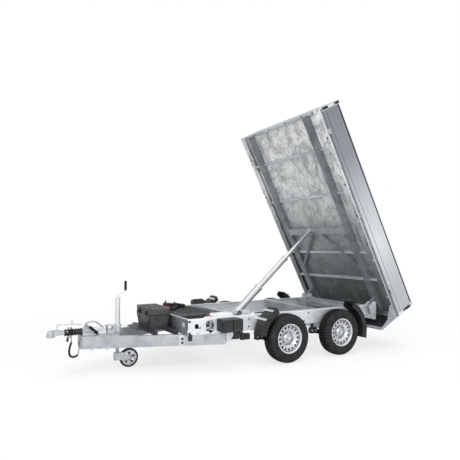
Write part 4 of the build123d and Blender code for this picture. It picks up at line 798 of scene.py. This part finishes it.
def dress_posts(side, word):
    """Caps over the corner posts, with their slots and the latches bolted on them."""
    slots = Form()
    for along, above, wide in ((post_front, 0.108, 0.030), (post_rear, 0.215, 0.026)):
        slots.block((0.105, wide, 0.003), on_side(along, side, above, 0.004), 0.010, 3)
    slots.finish("latch_slots_" + word, "seal", "black_plastic", "bed")
    caps = Form()
    for along in (post_front, post_rear):
        caps.block((0.355, 0.048, 0.0045), on_side(along, side, 0.222), 0.012, 4)
    # The caps take the panel's brighter copy: painted light
    caps.finish("post_caps_" + word, "panel_lit", "panel_aluminium", "bed")
    latches = Form()
    for along, low, high in (
        (post_front, 0.165, 0.330), (post_rear, 0.048, 0.150), (post_rear, 0.280, 0.385)
    ):
        length, middle = high - low, (low + high) / 2
        latches.block((length, 0.034, 0.007), on_side(along, side, middle), 0.006, 3)
        latches.block((0.6 * length, 0.020, 0.007), on_side(along, side, middle, 0.006), 0.006, 3)
        for above in (low + 0.012, high - 0.012):
            latches.bolt(on_side(along, side, above, 0.006), 0.012, 0.006, False)
    # Latches in the brighter copy of the zinc: painted light
    latches.finish("post_latches_" + word, "galv_side_lit", body="bed")


def dress_hooks(side, word):
    """Rope hooks that hang under the rail, clear of the opened dropside."""
    hooks = Form()
    for along in hook_places:
        start = bed_point(along, side * 0.985, 0.002)
        line = [start]
        for drop, out in ((0.018, 0.004), (0.027, 0.020), (0.020, 0.036), (0.008, 0.040)):
            line.append(start - drop * bed_up + out * Vector((0, side, 0)))
        hooks.hose(line, 0.004, 8, 4)
    # The hooks take the panel's brighter copy: painted light
    hooks.finish("rope_hooks_" + word, "panel_lit", body="bed")


def dress_bed_ends():
    front = Form()
    for beside in (-0.86, -0.62, -0.2, 0.25, 0.66, 0.9):
        front.bolt(under_bed(3.306, beside * 0.98), 0.016, 0.010)
    front.finish("front_rail_bolts", "dark_bolt", body="bed")
    # A black sheet inside the rear skirt, where it lies in shade: painted shade
    shade_sheet = Form()
    shade_sheet.block((1.98, 0.325, 0.003), facing(bed_point(0.0055, 0, -0.172), bed_ahead, (0, 1, 0)), 0.01, 2)
    shade_sheet.finish("skirt_shade_sheet", "guard", "black_plastic", "bed")
    lenses = {"lens_red": Form(), "lens_amber": Form()}
    bezels = Form()
    for side in (-1, 1):
        for kind, beside, width in (
            ("lens_red", 0.72, 0.110), ("lens_amber", 0.835, 0.090), ("lens_red", 0.930, 0.070)
        ):
            lenses[kind].block((0.094, width, 0.006), behind_bed(-0.040, side * beside, lamp_drop), 0.010, 4)
        bezels.block((0.112, 0.312, 0.002), behind_bed(-0.0395, side * 0.816, lamp_drop), 0.014, 4)
        bezels.block((0.11, 0.52, 0.002), behind_bed(-0.0005, side * 0.26, -0.30), 0.004, 2)
    for kind, form in lenses.items():
        form.finish("rear_" + kind, kind, "black_plastic", "bed")
    bezels.finish("lamp_bezels", "plastic", "black_plastic", "bed")


for side, word in ((1, "left"), (-1, "right")):
    dress_panel(side, word)
    dress_rail(side, word)
    dress_posts(side, word)
    dress_hooks(side, word)
dress_bed_ends()


# Chassis fittings, placed by the frame's own sizes

frame_side = 0.700
frame_face = 1.0725
mount_places = (0.028, -0.900)
unit_left, unit_right, unit_top = 0.320, -0.480, 0.660
toolbox_front, toolbox_top = 1.401, 0.757
tank_foot = 0.508
nose_top = 0.460


def beam_side(x):
    """The left drawbar beam's outer face at x."""
    return 0.730 - (x - 0.563) * 0.3703


def across(x, y, z, way=1):
    """A placing that faces sideways: X up, Z out to the left (way 1) or the right."""
    return facing((x, y, z), (0, way, 0))


def ahead_of(x, y, z):
    """A placing that faces forwards: X up, Z forwards."""
    return facing((x, y, z), (1, 0, 0))


def level(x, y, z):
    """A placing that faces up: X forwards, Z up."""
    return facing((x, y, z), (0, 0, 1), (1, 0, 0))


def dress_side_member():
    bolts = Form()
    for x, z in ((1.055, 0.627), (1.055, 0.482)):
        bolts.bolt(across(x, frame_side, z), 0.024, 0.012)
    for x, z in ((1.083, 0.397), (1.083, 0.350)):
        bolts.bolt(across(x, beam_side(x) + 0.008, z), 0.024, 0.012)
    for x, z in ((0.20, 0.60), (0.20, 0.50), (-0.02, 0.60), (-0.72, 0.50), (-0.80, 0.61), (0.30, 0.482)):
        bolts.bolt(across(x, frame_side, z), 0.016, 0.009)
    bolts.finish("frame_bolts_left", "dark_bolt")
    valves = Form()
    for size, place, round_by in (
        ((0.075, 0.052, 0.020), (1.045, 0.690, 0.430), 0.004),
        ((0.072, 0.082, 0.055), (0.378, 0.640, 0.386), 0.010),
        ((0.090, 0.064, 0.050), (0.275, 0.640, 0.372), 0.010),
        ((0.080, 0.060, 0.050), (0.203, 0.642, 0.368), 0.010),
    ):
        valves.block(size, across(*place), round_by, 3)
    valves.knob(across(0.315, 0.650, 0.430), 0.032, 0.03, 0.024, 0.036)
    valves.finish("side_valve_block", "plastic", "black_plastic")
    shoe = Form()
    # The plate behind the beam's end, as points of z and x
    outline = [(0.450, 0.43), (0.450, 0.60), (0.345, 0.575), (0.330, 0.530), (0.345, 0.470), (0.400, 0.43)]
    shoe.prism(outline, across(0, 0.672, 0), 0.020, 0.003)
    shoe.block((0.110, 0.022, 0.060), across(0.540, 0.660, 0.385), 0.004, 2)
    shoe.bolt(across(0.470, 0.692, 0.385), 0.020, 0.011)
    # The shoe in the brighter copy of the zinc: painted light
    shoe.finish("beam_shoe_left", "galv_side_lit")


def dress_axles():
    """The arms' mounts under the side members, ahead of the wheels."""
    mounts, nuts = Form(), Form()
    for side in (-1, 1):
        for x in mount_places:
            mounts.block((0.085, 0.120, 0.060), across(x, side * 0.650, 0.352, side), 0.012, 3)
            mounts.knob(across(x - 0.055, side * 0.650, 0.335, side), 0.034, 0.07, 0.026, 0.078)
            mounts.block((0.080, 0.050, 0.010), across(x + 0.030, side * 0.690, 0.410, side), 0.004, 2)
            for offset in (-0.030, 0.040):
                nuts.bolt(across(x + offset, side * 0.710, 0.352, side), 0.018, 0.010)
    mounts.finish("axle_arm_mounts", "plastic", "black_plastic")
    nuts.finish("axle_mount_bolts", "zinc")


def dress_far_side():
    box = Form()
    box.block((0.085, 0.200, 0.110), across(0.230, -0.712, 0.662, -1), 0.012, 3)
    box.block((0.012, 0.160, 0.070), across(0.230, -0.730, 0.712, -1), 0.005, 2)
    box.finish("far_side_box", "plastic", "black_plastic")


def dress_hinges():
    # Hinge stiffeners in the bright copy of the zinc: painted highlight
    bars = Form()
    for side in (-1, 1):
        for size, (x, beside, z), round_by, steps in (
            ((0.215, 0.016, 0.010), (-2.012, 0.702, 0.545), 0.003, 2),
            ((0.022, 0.110, 0.010), (-1.965, 0.702, 0.645), 0.004, 2),
            ((0.030, 0.060, 0.020), (-1.860, 0.690, 0.640), 0.012, 3),
        ):
            bars.block(size, across(x, side * beside, z, side), round_by, steps)
    bars.finish("hinge_stiffeners", "galv_highlight")
    # Black sheets in the hinge plates' openings, where only shade is seen: painted shade
    opening_shade = Form()
    for side in (-1, 1):
        corners = [(0.600, -1.955), (0.480, -1.992), (0.480, -1.930)][::side]
        opening_shade.prism([(z, x * side) for z, x in corners], across(0, side * 0.7005, 0, side), 0.001)
    opening_shade.finish("hinge_plate_shade", "seal")


def dress_front_member():
    # A dark sheet over the front member's face, where it lies in shade: painted shade
    face = Form()
    face.block((0.176, 1.36, 0.001), ahead_of(frame_face, 0, 0.550), 0.004, 1)
    face.finish("front_member_shade_sheet", "galv_front_shade")
    plate = Form()
    plate.block((0.055, 0.075, 0.0025), ahead_of(frame_face + 0.0005, 0.560, 0.575), 0.005, 2)
    # The plate takes the panel's brighter copy: painted light
    plate.finish("blank_data_plate", "panel_lit")


def dress_gimbal():
    cover = Form()
    cover.block((0.050, 0.120, 0.004), across(-0.150, 0.0870, 0.590), 0.020, 4)
    cover.knob(across(-0.120, 0.090, 0.590), 0.022, 0.012, 0.017, 0.015)
    cover.finish("gimbal_plate_cover", "tank")
    ring = Form()
    ring.knob(across(-0.021, 0.0870, 0.582), 0.036, 0.010, 0.030, 0.013, 28)
    ring.finish("gimbal_pin_ring", "seal", "cylinder_steel")


def dress_toolbox():
    locks = Form()
    lock_profile = [(0, 0.024), (0.006, 0.024), (0.010, 0.020), (0.010, 0.014), (0.006, 0.012), (0.006, 0)]
    for y in (-0.130, 0.130):
        locks.turned(lock_profile, ahead_of(toolbox_front + 0.010, y, 0.690), 28)
    locks.finish("toolbox_locks", "seal", "black_plastic", "toolbox_lid")
    ribs = Form()
    for x in (1.165, 1.215, 1.265, 1.315, 1.365):
        ribs.block((0.014, 0.46, 0.005), level(x, 0, toolbox_top), 0.004, 2)
    ribs.finish("toolbox_lid_ribs", "plastic", "black_plastic", "toolbox_lid")
    moulding = Form()
    for side in (-1, 1):
        # Down each side of the front, as distance beside the middle and height
        line = ((0.235, 0.680), (0.232, 0.635), (0.205, 0.600), (0.180, 0.560), (0.165, 0.508))
        moulding.hose([(toolbox_front + 0.001, side * beside, z) for beside, z in line], 0.006, 8, 6)
    moulding.hose([(x, 0.2705, 0.672) for x in (1.130, 1.25, 1.390)], 0.005, 8, 2)
    moulding.finish("toolbox_moulding", "seal", "black_plastic")


def dress_tank():
    """The oil tank beside the pump unit, its cap and its bracket."""
    tank = Form()
    tank.block((0.300, 0.150, 0.172), level(0.530, 0.545, tank_foot), 0.030, 5)
    tank.block((0.110, 0.130, 0.135), level(0.715, 0.550, tank_foot), 0.028, 5)
    tank.knob(level(0.722, 0.545, 0.642), 0.026, 0.012, 0.020, 0.014)
    tank.finish("oil_tank", "tank", "black_plastic")
    cap = Form()
    cap.knob(level(0.722, 0.545, 0.652), 0.024, 0.020, 0.019, 0.025)
    cap.finish("oil_tank_cap", "cap_red", "black_plastic")
    bracket = Form()
    for x in (0.430, 0.630):
        bracket.block((0.022, 0.152, 0.004), level(x, 0.547, 0.679), 0.002, 1)
    bracket.block((0.40, 0.19, 0.006), level(0.575, 0.600, tank_foot - 0.005), 0.004, 2)
    # The bracket in the brighter copy of the zinc: painted light
    bracket.finish("oil_tank_bracket", "galv_side_lit")


def dress_unit():
    """The pump unit's ribs, its tank, and the hoses, fittings and valves beside it."""
    ribs = Form()
    rib_count = 9
    first, last = unit_right + 0.06, unit_left - 0.06
    for k in range(rib_count):
        y = first + k * (last - first) / (rib_count - 1)
        ribs.block((0.44, 0.020, 0.006), level(0.747, y, unit_top), 0.004, 2)
    ribs.finish("unit_cover_ribs", "plastic", "black_plastic")
    dress_tank()
    hoses = Form()
    for radius, line in (
        (0.011, ((0.95, 0.315, 0.60), (0.97, 0.42, 0.60), (0.93, 0.52, 0.585),
                 (0.84, 0.60, 0.560), (0.80, 0.62, 0.520))),
        (0.011, ((0.90, 0.315, 0.56), (0.90, 0.44, 0.55), (0.86, 0.55, 0.53),
                 (0.74, 0.62, 0.545), (0.66, 0.63, 0.550))),
        (0.009, ((0.80, 0.315, 0.62), (0.82, 0.42, 0.63), (0.80, 0.54, 0.62),
                 (0.76, 0.61, 0.60), (0.745, 0.63, 0.560))),
        (0.011, ((0.62, 0.315, 0.56), (0.50, 0.34, 0.55), (0.30, 0.30, 0.54),
                 (0.10, 0.16, 0.54), (0.02, 0.09, 0.56))),
    ):
        hoses.hose(line, radius)
    hoses.finish("hydraulic_hoses", "seal", "cable_rubber")
    fittings = Form()
    fitting_profile = [(0, 0.017), (0.03, 0.017), (0.03, 0.012), (0.045, 0.012), (0.045, 0)]
    for place in ((0.800, 0.625, 0.520), (0.655, 0.632, 0.550), (0.745, 0.634, 0.560), (0.715, 0.640, 0.500)):
        fittings.turned(fitting_profile, across(*place), 18)
    fittings.finish("hose_fittings", "zinc")
    valves = Form()
    valves.block((0.100, 0.120, 0.030), across(0.900, 0.560, 0.560), 0.010, 3)
    valves.block((0.150, 0.130, 0.030), across(0.735, 0.575, 0.548), 0.020, 3)
    valves.block((0.060, 0.070, 0.055), level(0.33, 0.62, 0.600), 0.010, 3)
    valves.finish("valve_bodies", "seal", "black_plastic")


def dress_leads():
    """Battery leads: out of the toolbox's rear wall to the relays on the far side of the unit."""
    black = Form()
    for y, rise, radius in (
        (-0.24, 0.030, 0.007), (-0.17, 0.016, 0.008), (-0.10, 0.024, 0.008), (-0.02, 0.010, 0.006)
    ):
        black.hose([
            (1.130, y, 0.664), (1.100, y - 0.01, 0.672 + 0.3 * rise),
            (1.050, y - 0.03, 0.690 + 0.4 * rise), (0.985, y - 0.06, 0.706),
            (0.940, y - 0.08, 0.694), (0.920, y - 0.08, 0.672),
        ], radius)
    for x, y, long, wide, high in (
        (0.925, -0.33, 0.10, 0.12, 0.080),
        (0.800, -0.37, 0.13, 0.10, 0.066),
        (0.690, -0.37, 0.08, 0.12, 0.050),
        (0.930, -0.16, 0.07, 0.16, 0.040),
        (0.84, -0.24, 0.06, 0.10, 0.050),
    ):
        black.block((long, wide, high), level(x, y, unit_top + 0.001), 0.012, 3)
    for x, y, top in ((0.955, -0.33, 0.080), (0.800, -0.37, 0.052)):
        black.knob(level(x, y, unit_top - 0.005 + top), 0.013, 0.030, 0.009, 0.042, 16)
    black.block((0.030, 0.44, 0.024), level(1.105, -0.05, 0.646), 0.010, 3)
    black.finish("unit_leads_black", "seal", "cable_rubber")
    red = Form()
    for radius, line in (
        (0.006, ((1.130, -0.06, 0.676), (1.070, -0.11, 0.696), (1.000, -0.15, 0.716),
                 (0.950, -0.13, 0.700), (0.930, -0.10, 0.682))),
        (0.005, ((1.130, -0.28, 0.678), (1.050, -0.26, 0.702), (0.980, -0.22, 0.722),
                 (0.940, -0.20, 0.706), (0.925, -0.18, 0.688))),
    ):
        red.hose(line, radius)
    red.finish("unit_lead_red", "lead_red", "cable_rubber")


def grip_profile(foot, length, ridges, edge, end):
    """A rubber grip's profile: its foot, ridges over a length, and the rounded end past its edge."""
    rows = [(0.004 + length * k / ridges, 0.0172 if k % 2 else 0.0160) for k in range(ridges + 1)]
    return [(foot, 0.0), (foot, 0.0165)] + rows + [(edge, 0.0165), (end, 0.012), (end, 0.0)]


def dress_drawbar():
    crank = Form()
    crank.turned(grip_profile(-0.001, 0.108, 12, 0.117, 0.120), facing((1.640, 0, 0.984), (0, 0, 1)), 28)
    crank.finish("crank_grip_sleeve", "seal", "black_plastic", "jockey_leg")
    brake = Form()
    brake_placing = facing((2.111, 0.076, 0.567), (-0.75, 0, -0.66))
    brake.turned(grip_profile(0.0, 0.128, 14, 0.137, 0.1395), brake_placing, 28)
    brake.finish("handbrake_grip_sleeve", "seal", "black_plastic")
    marks = Form()
    mark_count, mark_ring = 5, 0.058
    for side in (-1, 1):
        seat = across(1.590, side * 0.0225, 0.120, side)
        marks.knob(seat, 0.030, 0.003, 0.022, 0.004)
        for k in range(mark_count):
            turned = seat @ Matrix.Rotation(2 * math.pi * k / mark_count, 4, "Z")
            spot = turned @ Matrix.Translation((mark_ring, 0, 0))
            marks.turned([(0, 0.014), (0.0015, 0.014), (0.0015, 0)], spot, 18)
    marks.finish("jockey_wheel_marks", "dark_bolt", "rim_steel", "jockey_wheel")
    tabs = Form()
    for x in (2.10, 1.93):
        tabs.block((0.022, 0.030, 0.012), across(x, beam_side(x) - 0.02, 0.302), 0.004, 2)
    tabs.finish("beam_tabs_left", "zinc")
    bolts = Form()
    for x in (1.93, 2.00, 2.07, 2.14):
        for y in (-0.055, 0.055):
            bolts.bolt(level(x, y, nose_top), 0.019, 0.011)
    for x in (2.36, 2.42):
        bolts.bolt(across(x, 0.036, 0.52), 0.017, 0.010)
    bolts.finish("nose_bolts", "zinc")


dress_side_member()
dress_axles()
dress_far_side()
dress_hinges()
dress_front_member()
dress_gimbal()
dress_toolbox()
dress_unit()
dress_leads()
dress_drawbar()


# Stage and light

# Near the trailer the floor shows its shadow through a white veil, and further off it is plain white
floor_reach = 60
shadow_near, shadow_far = 2.2, 5.5
shadow_veil = 0.72
lamps = [
    # name, place, target, size, power
    ("key", (5.0, 6.5, 7.5), (-0.5, 0, 1.2), (5, 4), 420),
    ("top", (-1.5, 1.5, 9.0), (-0.8, 0, 0.5), (8, 6), 380),
    ("front", (8.5, 1.0, 2.5), (0, 0, 1.0), (4, 3), 60),
    ("side", (0.8, 9.5, 2.2), (-0.3, 0, 0.7), (6, 2.5), 170),
]


def make_stage():
    floor_mesh = bpy.data.meshes.new("studio_floor")
    corners = [(x * floor_reach, y * floor_reach, 0) for x, y in ((-1, -1), (1, -1), (1, 1), (-1, 1))]
    floor_mesh.from_pydata(corners, [], [(0, 1, 2, 3)])
    floor = add_object("studio_floor", floor_mesh)
    shader = Shader("studio_floor", roughness=0.9)
    shader.set(Base_Color=shader.mix(shader.noise(0.4), (0.86, 0.86, 0.86), (0.88, 0.88, 0.88)))
    away = shader.add("ShaderNodeVectorMath", "Value", {0: shader.place}, operation="LENGTH")
    far = shader.spread(away, shadow_near, shadow_far, shadow_veil, 1.0)
    glow = shader.add("ShaderNodeEmission", "Emission", {"Color": (1, 1, 1, 1), "Strength": 1.0})
    plain = shader.bsdf.outputs["BSDF"]
    seen = shader.add("ShaderNodeMixShader", "Shader", {"Fac": far, 1: plain, 2: glow})
    ray = shader.add("ShaderNodeLightPath", "Is Camera Ray")
    chosen = shader.add("ShaderNodeMixShader", "Shader", {"Fac": ray, 1: plain, 2: seen})
    feed(shader.tree, shader.tree.nodes["Material Output"], {"Surface": chosen})
    floor_mesh.materials.append(shader.material)


def make_world():
    """White where it's seen directly or in a reflection, and a dimmer fill light."""
    world = bpy.data.worlds.new("studio")
    bpy.context.scene.world = world
    world.use_nodes = True
    tree = world.node_tree
    tree.nodes.clear()
    backdrop, fill = (
        add_node(tree, "ShaderNodeBackground", "Background", {"Color": colour, "Strength": strength})
        for colour, strength in (((1, 1, 1, 1), 1.0), ((0.96, 0.98, 1, 1), 0.55))
    )
    rays = tree.nodes.new("ShaderNodeLightPath").outputs
    seen = rays["Is Camera Ray"]
    for kind in ("Is Glossy Ray", "Is Transmission Ray"):
        seen = add_node(tree, "ShaderNodeMath", "Value", {0: seen, 1: rays[kind]}, operation="MAXIMUM")
    light = add_node(tree, "ShaderNodeMixShader", "Shader", {"Fac": seen, 1: fill, 2: backdrop})
    feed(tree, tree.nodes.new("ShaderNodeOutputWorld"), {"Surface": light})


def make_lamp(name, place, target, size, power):
    data = bpy.data.lights.new(name, "AREA")
    data.shape = "RECTANGLE"
    data.size, data.size_y = size
    data.energy = power
    lamp = add_object(name, data)
    lamp.location = place
    lamp.rotation_euler = (Vector(target) - Vector(place)).to_track_quat("-Z", "Y").to_euler()


make_stage()
make_world()
for lamp in lamps:
    make_lamp(*lamp)
